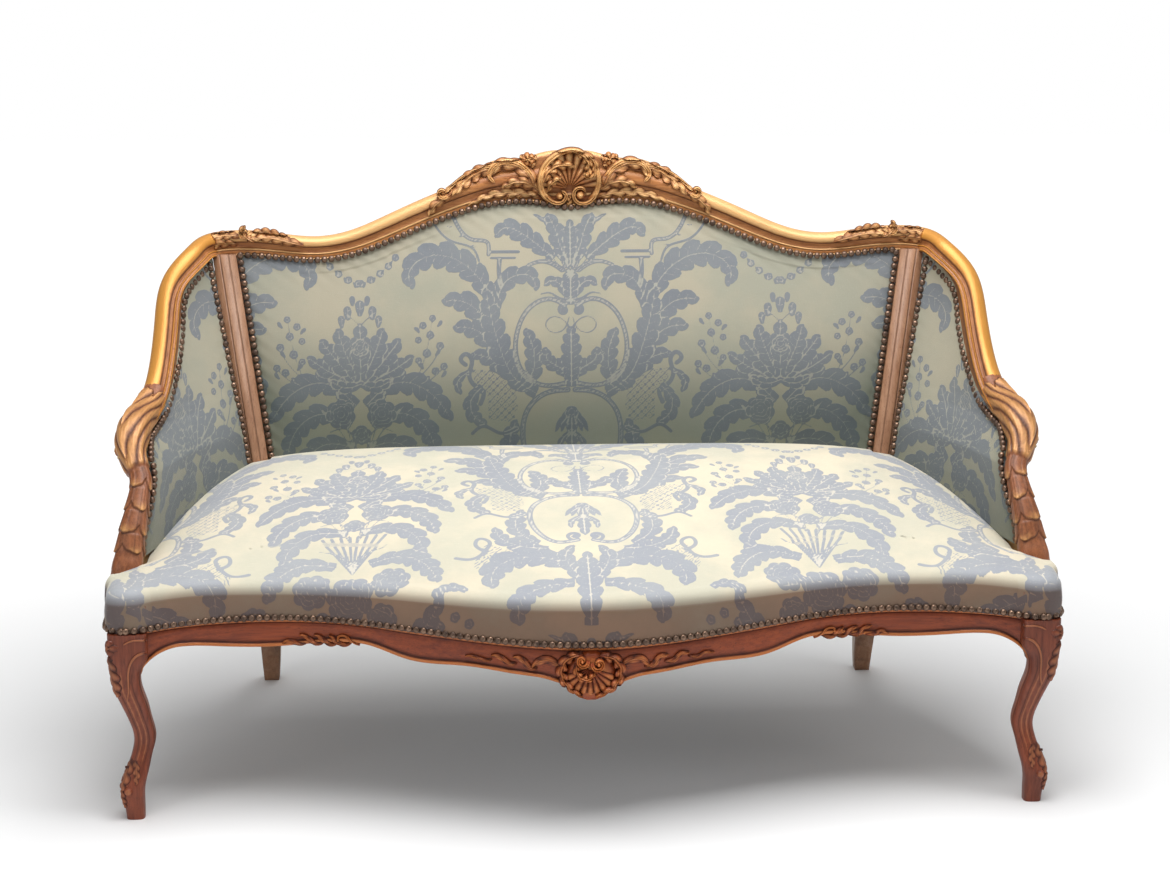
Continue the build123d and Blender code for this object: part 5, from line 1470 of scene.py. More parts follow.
# ------------------------------------------------------------------ legs and seat rails
@dataclass
class FrontLegs:
    """Cabriole front legs: squared block, moulded knee with a leaf, slender ankle and scrolled toe."""

    finish: bpy.types.Material
    foot: Point = (0.680, -0.266, 0.0)
    block: float = 0.058
    curve: tuple[tuple[float, float, float], ...] = (
        (0, 0, 13.5), (22, 1, 15), (50, 2, 17.5), (73, -4, 17), (97, -11, 15.5), (120, -16, 16),
        (152, -11, 17), (180, -4, 19.5), (205, 3, 20.5), (230, 5, 22), (256, 1, 28),
    )

    def body(self) -> Stock:
        """The right leg's skin, with a moulded arris down its front corner."""
        keys = np.array(self.curve, float) / 1000
        top = float(SIZE.nail_z(SIZE.block_in)) - 0.0055
        heights = np.concatenate([np.linspace(0, 0.256, 120), np.linspace(0.2575, top, 16)])
        read = spline(keys[:, 0], keys[:, 1:], np.minimum(heights, 0.256))
        out, half = read[:, 0], read[:, 1]
        blend = soft_step(heights, 0.235, 0.262)
        out, half = out * (1 - blend), half * (1 - blend) + self.block / 2 * blend
        count = 56
        turn = np.linspace(0, math.tau, count, endpoint=False) + math.pi / 4
        power = (0.62 - 0.34 * blend)[:, None]
        side_x = np.sign(np.cos(turn)) * np.abs(np.cos(turn)) ** power
        side_y = np.sign(np.sin(turn)) * np.abs(np.sin(turn)) ** power
        fade = soft_step(heights, 0.06, 0.10) * (1 - soft_step(heights, 0.225, 0.25))
        panel = np.abs(np.abs(((turn / (math.pi / 2)) % 1.0) - 0.5) - 0.30)
        groove = np.clip(1 - panel / 0.06, 0, 1)
        scale = 1 - 0.055 * groove[None, :] * fade[:, None]
        x = self.foot[0] + out[:, None] + half[:, None] * side_x * scale
        y = self.foot[1] - out[:, None] + half[:, None] * side_y * scale
        rings = np.stack([x, y, np.broadcast_to(heights[:, None], x.shape)], axis=-1)
        points, faces = tube(rings)
        edge = np.clip(1 - np.abs(panel - 0.12) / 0.05, 0, 1)[None, :] * fade[:, None] * 0.9
        worn = np.clip(edge + 0.25 * (heights < 0.02)[:, None], 0, 1)
        stock = Stock()
        # hollow: the panel groove darkened with dark wax and painted shade.
        stock.add(points, faces, relief=worn, hollow=(groove[None, :] * fade[:, None]) * 0.9)
        return stock

    def carve(self, stock: Stock) -> None:
        """Carves the front corner, and the front and outer faces."""
        skin = tree_of(np.concatenate(stock.points), stock.faces)
        x, y = self.foot[0], self.foot[1]
        for look, right in (
            ((-0.70, 0.71, 0), (0.71, 0.70, 0)), ((0, 1, 0), (1, 0, 0)), ((-1, 0, 0), (0, 1, 0)),
        ):
            way, across = unit(np.array(look, float)), unit(np.array(right, float))
            middle = float(np.dot((x, y, 0), across))
            start = float(np.dot((x, y, 0), way)) - 0.03
            bench = Bench(skin, tuple(across), (0, 0, 1), tuple(way), start, 0.12)
            if look[0] and look[1]:
                self.corner(bench, middle)
            else:
                self.face(bench, middle, -1.0 if look[1] else 1.0)
            stock.join(bench.stock)

    @staticmethod
    def corner(bench: Bench, middle: float) -> None:
        """Carves the front corner: flower on the block, leaf on the knee and scrolled toe."""
        knee = [(middle, 0.262), (middle + 0.002, 0.244), (middle, 0.220), (middle, 0.196)]
        bench.leaf(knee, 0.012, 4, 0.0032)
        bench.flower((middle, 0.2745), 0.0125, 5, 0.0045)
        bench.leaf([(middle, 0.094), (middle, 0.074), (middle, 0.048)], 0.009, 3, 0.003)
        bench.leaf([(middle, 0.052), (middle + 0.001, 0.034), (middle, 0.020)], 0.006, 3, 0.0035)

    @staticmethod
    def face(bench: Bench, middle: float, inward: float) -> None:
        """Carves one face: the moulding that runs in from the rail, and the toe's button and leaf."""
        knee = ((0.029, 0.2665), (0.018, 0.2645), (0.007, 0.254), (0.001, 0.234), (0.0, 0.208), (-0.003, 0.190))
        block = ((0.030, 0.2850), (0.006, 0.2850), (-0.004, 0.2800))
        for path, start, end, rise in ((knee, 0.0026, 0.0012, 0.0024), (block, 0.0020, 0.0014, 0.0022)):
            bench.scroll([(middle + off * inward, z) for off, z in path], start, end, rise, 0.1)
        bench.button((middle + 0.008, 0.047), 0.0065, 0.0050)
        leaf = [(middle - 0.002, 0.092), (middle - 0.005, 0.076), (middle - 0.004, 0.058)]
        bench.leaf(leaf, 0.006, 3, 0.0024)

    def top(self, stock: Stock) -> None:
        """Adds the rebated top of the block, behind the cover."""
        low, high = float(SIZE.nail_z(SIZE.block_in)) - 0.0056, SIZE.rail_top
        x0, x1 = self.foot[0] - self.block / 2, self.foot[0] + self.block / 2 - 0.012
        y0, y1 = self.foot[1] - self.block / 2 + 0.012, self.foot[1] + self.block / 2
        ring = [(x0, y0), (x1, y0), (x1, y1), (x0, y1)]
        rings = np.array([[(x, y, z) for x, y in ring] for z in (low, high)])
        points, faces = tube(rings)
        stock.add(points, faces)

    def make(self) -> None:
        """Builds both front legs."""
        stock = self.body()
        self.carve(stock)
        self.top(stock)
        for side, part in (("right", stock), ("left", stock.mirrored())):
            dressed(part.piece(f"front_leg_{side}_carved"), self.finish, "mahogany", f"front_leg_{side}")


@dataclass
class Apron:
    """Serpentine front rail: scalloped lower edge with a bead, sunk field, shell and trailing leaves."""

    finish: bpy.types.Material
    edge: tuple[Pair, ...] = (
        (0, 64), (0.066, 62), (0.10, 56), (0.16, 52), (0.28, 48), (0.42, 50), (0.5, 37), (0.58, 37),
        (0.7, 47), (0.84, 44), (0.92, 38), (1, 40),
    )
    bracket: Pair = (0.058, 0.036)
    reach: float = 0.012

    def lower_z(self, x: Array) -> Array:
        """Height of the scalloped edge at x."""
        share = np.abs(x) / SIZE.block_in
        keys = np.array(self.edge)
        drop = spline(keys[:, 0], keys[:, 1], np.clip(share, 0, 1)) / 1000
        wide, tall = self.bracket
        bend = np.clip((np.abs(x) - SIZE.block_in - self.reach + wide) / wide, 0, 0.997)
        return SIZE.nail_z(np.minimum(np.abs(x), SIZE.block_in)) - drop - tall * (1 - np.sqrt(1 - bend**2))

    def body(self) -> Stock:
        """The apron's skin between the leg blocks."""
        far = SIZE.block_in + self.reach
        share = 1 - np.linspace(1, 0, 46) ** 2
        ends = far - self.bracket[0] * (1 - share)
        xs = np.concatenate([-ends[::-1], np.linspace(-ends[0], ends[0], 341)[1:-1], ends])
        inner = np.minimum(np.abs(xs), SIZE.block_in)
        top, low = SIZE.nail_z(inner) - 0.0055, self.lower_z(xs)
        front = SIZE.front_y(inner)
        slope = np.gradient(front, xs)
        normal = unit(np.stack([slope, -np.ones_like(xs)], axis=1))
        # height above the lower edge (m, or a share from the top), stand-out, relief, hollow (dark wax with painted
        # shadow in the grooves and under the edges)
        profile = (
            (0.0000, -0.0180, 0.0, 0.3), (0.0000, -0.0060, 0.0, 0.2), (0.0004, -0.0018, 0.5, 0.0),
            (0.0016, 0.0004, 1.0, 0.0), (0.0034, 0.0010, 1.0, 0.0), (0.0052, 0.0002, 0.9, 0.0),
            (0.0064, -0.0016, 0.2, 0.7), (0.0074, -0.0030, 0.0, 1.0), (0.0092, -0.0032, 0.0, 0.5),
            (0.0120, -0.0024, 0.05, 0.1), (0.0165, -0.0016, 0.1, 0.0), (0.0210, -0.0012, 0.1, 0.0),
        )
        tall = top - low
        rows = [(low + np.minimum(high, tall * 0.6), *rest) for high, *rest in profile]
        rows += [(low + tall * share, *rest) for share, *rest in (
            (0.72, -0.0010, 0.1, 0.0), (0.86, -0.0012, 0.1, 0.2), (0.90, -0.0022, 0.0, 0.9),
            (0.93, -0.0010, 0.6, 0.1), (0.98, -0.0004, 0.9, 0.0), (1.0, -0.0020, 0.4, 0.2),
            (1.0, -0.0180, 0.0, 0.6),
        )]
        face = np.stack([xs, front], axis=1)
        rings = np.stack([np.column_stack([face + normal * stand, z]) for z, stand, *_ in rows], axis=1)
        points, faces = tube(rings)
        relief, hollow = (np.tile([row[k] for row in rows], len(xs)) for k in (2, 3))
        stock = Stock()
        stock.add(points, faces, relief=relief, hollow=hollow)
        return stock

    def rail(self, stock: Stock) -> None:
        """Adds the plain rail behind the apron, up to the seat's underside."""
        xs = np.linspace(-SIZE.block_in, SIZE.block_in, 121)
        front = SIZE.front_y(xs)
        rings = []
        for back, z in ((0.0125, 0.2705), (0.0300, 0.2705), (0.0300, SIZE.rail_top), (0.0125, SIZE.rail_top)):
            rings.append(np.column_stack([xs, front + back, np.full_like(xs, z)]))
        points, faces = tube(np.stack(rings, axis=1))
        stock.add(points, faces)

    def carve(self, stock: Stock) -> None:
        """Carves the shell in the middle and the leaves that trail from it and sit in the hollows."""
        skin = tree_of(np.concatenate(stock.points), stock.faces)
        bench = Bench(skin, fallback=SIZE.front)
        bench.flower((0.0, 0.240), 0.038, 0, 0.012)
        bench.base = tree_of(
            np.concatenate(stock.points + bench.stock.points),
            stock.faces + [[i + stock.total for i in face] for face in bench.stock.faces],
        )
        bench.shell((-0.002, 0.256), 0.042, 9, 0.007, 70.0, 180.0)
        at = places_on(1)
        for path, half, lobes, rise, curl in (
            (((12, 272), (36, 264), (43, 242), (28, 222), (6, 212)), 0.009, 6, 0.012, 0.002),
            (((-12, 274), (-36, 266), (-44, 246), (-34, 226), (-14, 212)), 0.009, 6, 0.012, 0.002),
            (((-22, 262), (-20, 246), (-6, 240), (4, 250)), 0.007, 4, 0.013, 0.0),
        ):
            bench.leaf(at(*path), half, lobes, rise, curl)
        bench.volute((0.010, 0.262), 0.010, 180, 1.0, 0.0035, 0.014)
        bench.volute((-0.014, 0.266), 0.009, 0, -1.0, 0.0033, 0.013)
        for side in (1, -1):
            self.trail(bench, side)
        stock.join(bench.stock)

    @staticmethod
    def trail(bench: Bench, side: int) -> None:
        """Carves the leaves of one half of the apron."""
        at = places_on(side)
        for path, half, rise in (
            (((44, 254), (58, 262), (74, 262), (86, 252)), 7.0, 5.2),
            (((78, 250), (92, 252), (100, 262), (114, 266)), 5.5, 5.2),
            (((108, 256), (122, 256), (132, 264), (146, 266)), 5.0, 5.2),
            (((144, 260), (158, 258), (170, 262), (184, 262)), 3.2, 5.2),
            (((352, 266), (364, 262), (376, 268), (386, 276)), 4.6, 4.6),
            (((372, 264), (386, 262), (396, 270), (408, 276)), 4.6, 4.6),
            (((394, 263), (408, 263), (418, 271), (430, 276)), 4.4, 4.6),
            (((420, 262), (434, 262), (446, 266), (456, 262)), 3.6, 4.6),
        ):
            bench.leaf(at(*path), half / 1000, 2, rise / 1000, 0.001)
        bench.scroll(at((340, 262), (352, 268), (362, 276), (372, 274), (372, 266)), 0.0024, 0.0018, 0.0042)
        bench.volute(at((546, 258))[0], 0.0085, 90, side, 0.0030, 0.0050)

    def make(self) -> bpy.types.Object:
        """Builds the front rail."""
        stock = self.body()
        self.carve(stock)
        self.rail(stock)
        return dressed(stock.piece("front_seat_rail_carved"), self.finish, "mahogany", "front_seat_rail")


@dataclass
class Posts:
    """Back posts: square tapered rear legs and raked, fluted stiles."""

    finish: bpy.types.Material
    nodes: dict[str, bpy.types.Object]

    def make(self) -> None:
        """Dresses both posts with eased edges."""
        for side in ("right", "left"):
            piece = eased_copy(self.nodes[f"back_post_{side}"], f"back_post_{side}_fluted", 0.0016)
            dressed(piece, self.finish, "walnut", f"back_post_{side}")


# ------------------------------------------------------------------ upholstery
def woven(
    stock: Stock, points: Array, faces: list[list[int]], across: Array, down: Array, cartoon: Cartoon,
    soil: Any = 0.0, dust: Any = 0.0,
) -> None:
    """Adds a part whose cloth carries the damask.

    Args:
        stock: the piece.
        points: its points.
        faces: its faces.
        across: distance of each point from the pattern's middle axis, along the cloth.
        down: distance below the repeat's top, along the cloth.
        cartoon: the drawing.
        soil: how soiled by hands and legs the cloth is at each point, with painted shade where the cover turns away
            from the light.
        dust: how much painted shade darkens it.
    """
    figure, vein = cartoon.read(across, down)
    stock.add(points, faces, figure=figure, vein=vein, soil=soil, dust=dust)


@dataclass
class BackPad:
    """The back's stuffed panel under its damask, drawn tight to the nails all round."""

    finish: bpy.types.Material
    cartoon: Cartoon
    rails: ShowRails
    low: float = 0.374
    set_back: float = 0.0060
    crown: float = 0.020
    pattern_top: float = 0.836
    swollen: Pair = (0.372, 0.894)
    slack: float = 0.0008

    def face_y(self, x: Array, z: Array) -> Array:
        """The panel's face before the cloth is drawn in at its edges."""
        low, high = self.swollen
        swell = np.sin(np.pi * np.clip((z - low) / (high - low), 0, 1))
        bulge = np.maximum(SIZE.back_bow - self.crown * swell, 0.001)
        return SIZE.stile_y(z) + self.set_back + bulge * (1 - (x / SIZE.stile_x(z)) ** 2)

    def make(self) -> bpy.types.Object:
        """Builds the panel as one closed form."""
        cols, rows = 461, 205
        share = np.linspace(-1, 1, cols)
        top_x = share * (SIZE.stile_x(SIZE.stile_end) - SIZE.stile_wide / 2 - self.slack)
        top_z = self.rails.under_z(top_x)[None, :] - 0.0006
        z = self.low + (top_z - self.low) * np.linspace(0, 1, rows)[:, None]
        x = share[None, :] * (SIZE.stile_x(z) - SIZE.stile_wide / 2 - self.slack)
        side_gap = (SIZE.stile_x(z) - SIZE.stile_wide / 2) - np.abs(x)
        gap = np.minimum(side_gap, top_z - z)
        tuck = 0.0045 * np.exp(-gap / 0.010)
        pucker = 0.0007 * np.sin((x * 0.7 + z) / SIZE.pucker * math.pi)
        pucker = pucker * np.exp(-np.clip(gap - 0.010, 0, 1) / 0.014)
        drift = 0.0012 * np.sin(x * 9 + 1.3) * np.sin(z * 14 + 0.4)
        y = self.face_y(x, z) + tuck * 0.8 + pucker + drift * (gap > 0.02)
        front = np.stack([x, y, z], axis=-1).reshape(-1, 3)
        rim = border_of(rows, cols)
        behind = front[rim].copy()
        bow = 1 - (behind[:, 0] / SIZE.stile_x(behind[:, 2])) ** 2
        behind[:, 1] = SIZE.stile_y(behind[:, 2]) + 0.026 + SIZE.back_bow * 0.9 * bow
        faces, count = grid(rows, cols), len(front)
        for i, corner in enumerate(rim):
            j = (i + 1) % len(rim)
            faces.append([rim[j], corner, count + i, count + j])
        faces.append([count + i for i in range(len(rim))])
        points = np.concatenate([front, behind])
        down = (self.pattern_top - points[:, 2]) / math.cos(math.radians(10.4))
        stock = Stock()
        woven(stock, points, faces, points[:, 0], down, self.cartoon, 0.0, self.dust(points[:, 2], gap, side_gap))
        piece = stock.piece("back_pad", 70)
        dressed(piece, self.finish, "damask", "back_cover", "back_stuffing")
        return piece

    @staticmethod
    def dust(z: Array, gap: Array, side_gap: Array) -> Array:
        """How much painted shade darkens the cloth: some over the whole panel, and more towards the seat, the nails
        and the stiles.

        Args:
            z: height of each point, the front's and then the rim's.
            gap: distance of the front's points from the nails.
            side_gap: their distance from the stiles.

        Returns:
            A share from 0 to 1 for each point.
        """
        rim = np.zeros(len(z) - gap.size)
        # Painted shade: the upright panel darker all over, and darker towards the seat.
        dust = 0.42 + soft_step(-z, -0.68, -0.46) * 0.55
        dust = dust + 0.2 * np.exp(-np.append(gap.ravel(), rim) / 0.012)
        shaded = np.exp(-np.append(side_gap.ravel(), rim) / 0.025) * soft_step(-z, -0.78, -0.62)
        return np.clip(dust + 0.30 * shaded, 0, 1)


@dataclass
class WingPads:
    """Stuffed panels inside the arms, between stile, arm rail and support."""

    finish: bpy.types.Material
    cartoon: Cartoon
    low: float = 0.3705
    half: float = 0.0157
    near: float = 0.0136
    joint_top: float = 0.768
    bulge: Pair = (0.030, 0.014)

    def border(self) -> tuple[Array, Array]:
        """The pad's outer edge on the wing's surface: distance from the stile, and height."""
        rows = [(z, x, POST_Y * 1000 + y, 21.5) for z, x, y, *_ in SUPPORT_KEYS[::2]]
        rows += [(z, x, POST_Y * 1000 + y, 20.6 if z < 700 else 15.5) for x, y, z in ARM_KEYS[-2::-1]]
        keys = np.array(rows) / 1000
        arm = keys[:, 1:3]
        reach = np.linalg.norm(arm - self.stile(keys[:, 0]), axis=1)
        line = np.column_stack([reach, keys[:, 0]])
        fine = smooth_line(line, 200)
        tangent = unit(np.gradient(fine, axis=0))
        normal = np.stack([-tangent[:, 1], tangent[:, 0]], axis=1)
        gaps = np.interp(fine[:, 1], keys[:, 0], keys[:, 3])
        moved = fine + normal * gaps[:, None]
        order = np.argsort(moved[:, 1])
        return moved[order, 0], moved[order, 1]

    @staticmethod
    def stile(z: Array) -> Array:
        """Where the wing's middle surface meets the stile."""
        return np.stack([SIZE.stile_x(z) + 0.015, SIZE.stile_y(z) + SIZE.stile_deep / 2], axis=-1)

    def arm(self, z: Array) -> Array:
        """Where the wing's middle surface meets the support or the arm rail."""
        rows = [(z_, x, POST_Y * 1000 + y) for z_, x, y, *_ in SUPPORT_KEYS[::2]]
        rows += [(z_, x, POST_Y * 1000 + y) for x, y, z_ in ARM_KEYS[-2::-1]]
        keys = np.array(rows) / 1000
        return np.stack([np.interp(z, keys[:, 0], keys[:, k]) for k in (1, 2)], axis=-1)

    def surface(self, reach: Array, z: Array, off: Array) -> Array:
        """Points of the wing.

        Args:
            reach: distance from the stile along the wing.
            z: heights.
            off: distance from the middle surface towards the seat.

        Returns:
            x, y and z of each point.
        """
        stile, arm = self.stile(z), self.arm(z)
        chord = arm - stile
        length = np.linalg.norm(chord, axis=-1, keepdims=True)
        way = chord / length
        out = np.stack([-way[..., 1], way[..., 0]], axis=-1)
        rise = (z - SIZE.rail_top) / (self.joint_top - SIZE.rail_top)
        bow = self.bulge[0] + (self.bulge[1] - self.bulge[0]) * rise
        share = np.clip(reach / length[..., 0], 0, 1)
        lift = bow * 4 * share * (1 - share) - off
        flat = stile + way * reach[..., None] + out * lift[..., None]
        return np.concatenate([flat, z[..., None]], axis=-1)

    def stock(self) -> Stock:
        """The right pad as one closed form."""
        cols, rows = 121, 161
        far, heights = self.border()
        near = self.near
        top = float(heights[far > near + 0.0015].max()) + 0.010
        z = np.linspace(self.low, top, rows)[:, None] * np.ones((1, cols))
        outer = np.maximum(np.interp(z[:, 0], heights, far), near + 0.006)[:, None]
        reach = near + (outer - near) * np.linspace(0, 1, cols)[None, :]
        gap = np.minimum(np.minimum(reach - near, outer - reach), (top - z) * 1.2)
        puff = 0.0055 * (1 - np.exp(-gap / 0.030))
        pucker = 0.0006 * np.sin((z + reach * 0.5) / SIZE.pucker * math.pi)
        pucker = pucker * np.exp(-np.clip(gap - 0.010, 0, 1) / 0.012)
        tuck = 0.0035 * np.exp(-gap / 0.006)
        front = self.surface(reach, z, self.half + puff - tuck + pucker)
        back = self.surface(reach, z, -0.0128 + 0 * reach)
        points = np.concatenate([front.reshape(-1, 3), back.reshape(-1, 3)])
        count = rows * cols
        faces = grid(rows, cols) + [[i + count for i in face[::-1]] for face in grid(rows, cols)]
        for i, step, ends in (
            *((r * cols, 1, cols - 1) for r in (0, rows - 1)), *((c, cols, rows - 1) for c in (0, cols - 1)),
        ):
            edge = [i + step * k for k in range(ends)]
            faces += [[a, a + step, a + step + count, a + count] for a in edge]
        across = np.tile((0.350 - 0.165 + reach).ravel(), 2)
        down = np.tile((0.700 - z).ravel(), 2) + 0.07
        # Painted shade: the wing darker all over, more towards the seat and near its edges.
        dust = 0.52 + soft_step(-z, -0.60, -0.38) * 0.4 + 0.2 * np.exp(-gap / 0.02)
        stock = Stock()
        woven(stock, points, faces, across, down, self.cartoon, 0.0, np.clip(np.tile(dust.ravel(), 2), 0, 1))
        return stock

    def make(self) -> None:
        """Builds both wing pads."""
        right = self.stock()
        for side, part in (("right", right), ("left", right.mirrored())):
            piece = part.piece(f"wing_pad_{side}", 70)
            dressed(piece, self.finish, "damask", f"wing_cover_{side}", f"wing_stuffing_{side}")


@dataclass
class SeatPad:
    """The sprung seat under its damask: crowned top, rolled front edge, front and sides down to the nails."""

    finish: bpy.types.Material
    cartoon: Cartoon
    wings: WingPads
    edge_z: float = 0.360
    crown: float = 0.096
    middle_crown: float = 0.028
    reach: float = 0.700
    roll: float = 0.020
    proud: float = 0.004
    wing_z: float = 0.40
    pattern_top: float = 0.585

    def front_y(self, x: Array) -> Array:
        """Front of the cover, round the leg blocks."""
        x = np.abs(x)
        inner = SIZE.block_in
        share = np.clip((x - inner) / 0.022, 0, 1)
        face = SIZE.front_y(np.minimum(x, inner)) - self.proud
        return face * (1 - share) + (-0.291) * share

    def top_z(self, x: Array, y: Array) -> Array:
        """Height of the crowned top."""
        run = np.clip(np.abs(x) / self.reach, 0, 1)
        edge = self.edge_z - 0.001 * run**24
        back = edge + self.crown * (1 - run**6)
        rise = self.middle_crown * np.maximum(1 - run**6, 0.02)
        front = self.front_y(x) + self.roll
        q = np.clip((y - front) / (0.243 - front), 0, 1)
        return edge + (back - edge) * q + 4 * rise * q * (1 - q)

    def outer_side(self, y: Array) -> Array:
        """x of the bowed outer side at y."""
        a, b = np.array([0.713, -0.261]), np.array([0.536, 0.1867])
        share = np.clip((y - a[1]) / (b[1] - a[1]), 0, 1)
        chord = a[0] + (b[0] - a[0]) * share
        return chord + 4 * 0.0600 * share * (1 - share)

    def side(self, y: Array) -> Array:
        """x of the visible top's edge: the outer side in front, the support and the wing behind it."""
        far, heights = self.wings.border()
        length = float(np.interp(self.wing_z, heights, far))
        reach = 0.012 + (length - 0.012) * np.linspace(0, 1, 60)
        line = self.wings.surface(reach, np.full(60, self.wing_z), np.full(60, self.wings.half + 0.001))
        order = np.argsort(line[:, 1])
        wing = np.interp(y, line[order, 1], line[order, 0])
        blend = soft_step(y, -0.205, -0.190)
        return self.outer_side(y) * (1 - blend) + np.minimum(wing, 0.664) * blend

    def top(self) -> Array:
        """The crowned top as rows × columns × 3, from the front edge to the back."""
        s = np.linspace(-1, 1, 521)[None, :]
        t = np.linspace(0, 1, 181)[:, None]
        side_y = -0.271 + (0.188 + 0.271) * t
        inset = self.roll * (1 - soft_step(side_y, -0.212, -0.200)) + 0.0015
        wide = self.side(side_y.ravel())[:, None] - inset
        x = s * wide
        near = self.front_y(x) + self.roll
        far = np.where(np.abs(x) > 0.498, 0.204, 0.217 + 0.013 * (1 - (x / 0.53) ** 2))
        y = near + (far - near) * t
        gap = np.minimum((1 - np.abs(s)) * wide, np.minimum((y - near) + 0.05, far - y))
        z = self.top_z(x, y)
        z = z - 0.010 * np.exp(-np.clip(gap, 0, 1) / 0.018) * (side_y > -0.19)
        z = z + 0.0015 * np.sin(x * 11 + 0.5) * np.sin(y * 15 + 1.0) * soft_step(gap, 0.02, 0.08)
        z = z + 0.0035 * np.exp(-((x / 0.55) ** 8)) * soft_step(gap, 0.0, 0.15)
        z = z + 0.006 * np.exp(-(((np.abs(x) - 0.60) / 0.07) ** 2) - ((y + 0.195) / 0.06) ** 2)
        return np.stack([x, y, z], axis=-1)

    def down(self, top: Array) -> Array:
        """How far below the repeat's top each place of the seat's top lies, along the cloth."""
        x, y, z = np.moveaxis(top, -1, 0)
        near = self.front_y(x) + self.roll
        slope = np.hypot(1, np.gradient(z, axis=0) / np.maximum(np.abs(np.gradient(y, axis=0)), 1e-5))
        cloth = np.cumsum(np.gradient(y, axis=0) * slope, axis=0)
        cloth = cloth - cloth[:1]
        return self.pattern_top - (cloth + (near - self.front_y(0.0) - self.roll) * 0.92)

    def make(self) -> bpy.types.Object:
        """Builds the seat as one piece of closed parts."""
        top = self.top()
        faces, rim = grid(*top.shape[:2]), border_of(*top.shape[:2])
        pattern = self.down(top).ravel()
        top = top.reshape(-1, 3)
        ring = top[rim]
        tangent = unit(np.roll(ring, -1, axis=0) - np.roll(ring, 1, axis=0))
        out = unit(np.stack([tangent[:, 1], -tangent[:, 0], 0 * tangent[:, 0]], axis=1))
        shown = (ring[:, 1] < -0.197).astype(float)
        shown = np.convolve(np.concatenate([shown[-4:], shown, shown[:4]]), np.ones(9) / 9, "valid")
        low = SIZE.nail_z(np.minimum(np.abs(ring[:, 0]), SIZE.block_in)) - 0.0051
        low = low * shown + 0.345 * (1 - shown)
        radius = self.roll * shown + 0.0015 * (1 - shown)
        turned = np.clip(np.abs(out[:, 0]), 0, 1) ** 2
        points, across, down, soil = [top], [top[:, 0]], [pattern], [np.zeros(len(top))]
        last, travelled, index, total = ring, np.zeros(len(ring)), rim, len(top)
        steps = [(a, 0.0) for a in np.linspace(15, 90, 6)] + [(90.0, v) for v in np.linspace(0.04, 1, 24)]
        for angle, share in steps:
            a = math.radians(angle)
            drop = radius * (1 - math.cos(a)) + share * np.maximum(ring[:, 2] - radius - low, 0)
            belly = 0.0022 * math.sin(math.pi * share) - 0.0016 * soft_step(share, 0.80, 0.92)
            place = ring + out * (radius * math.sin(a) + belly * shown)[:, None]
            place[:, 2] = ring[:, 2] - drop
            travelled = travelled + np.linalg.norm(place - last, axis=1)
            last = place
            points.append(place)
            across.append(ring[:, 0] + np.sign(ring[:, 0]) * travelled * turned)
            down.append(pattern[rim] + travelled * (1 - turned))
            # Soil with painted shade: rises as the cover turns down from the top to the front and sides, away from
            # the overhead light.
            soil.append(np.full(len(ring), float(soft_step(angle / 90 + share * 4, 0.5, 1.3))))
            new = list(range(total, total + len(ring)))
            for i in range(len(ring)):
                j = (i + 1) % len(ring)
                faces.append([index[i], new[i], new[j], index[j]])
            index, total = new, total + len(ring)
        faces.append(index[::-1])
        stock = Stock()
        parts = [np.concatenate(part) for part in (points, across, down, soil)]
        woven(stock, parts[0], faces, parts[1], parts[2], self.cartoon, parts[3])
        for side in (1, -1):
            self.strip(stock, side)
        piece = stock.piece("seat_pad", 70)
        dressed(piece, self.finish, "damask", "seat_cover", "seat_stuffing")
        return piece

    def strip(self, stock: Stock, side: int) -> None:
        """Adds the cover's side below the wing, from the nails up over the side rail."""
        ys = np.linspace(-0.206, 0.1835, 150)
        face = self.outer_side(ys) + 0.0004
        low = float(SIZE.nail_z(SIZE.block_in)) - 0.0051
        profile = (
            (-0.002, low), (0.0, low + 0.001), (0.0008, 0.32), (0.0, 0.338), (-0.003, 0.3445), (-0.012, 0.3465),
            (-0.028, 0.3465), (-0.028, 0.3365), (-0.0035, 0.3365),
        )
        fine = []
        for (a, b), (c, d) in zip(profile[:-1], profile[1:]):
            steps = max(int(math.hypot(c - a, d - b) / 0.0035), 1)
            fine += [(a + (c - a) * i / steps, b + (d - b) * i / steps) for i in range(steps)]
        fine.append(profile[-1])
        rings = [np.column_stack([(face + off) * side, ys, np.full_like(ys, z)]) for off, z in fine]
        points, faces = tube(np.stack(rings, axis=1))
        run = along_line(np.array(fine))
        across = 0.36 + (ys + 0.2)[:, None] + 0 * run[None, :]
        down = 0.60 - run[None, :] + 0 * ys[:, None]
        # The side below the wing takes soil with painted shade at 0.8.
        woven(stock, points, faces, across.ravel(), down.ravel(), self.cartoon, 0.8)


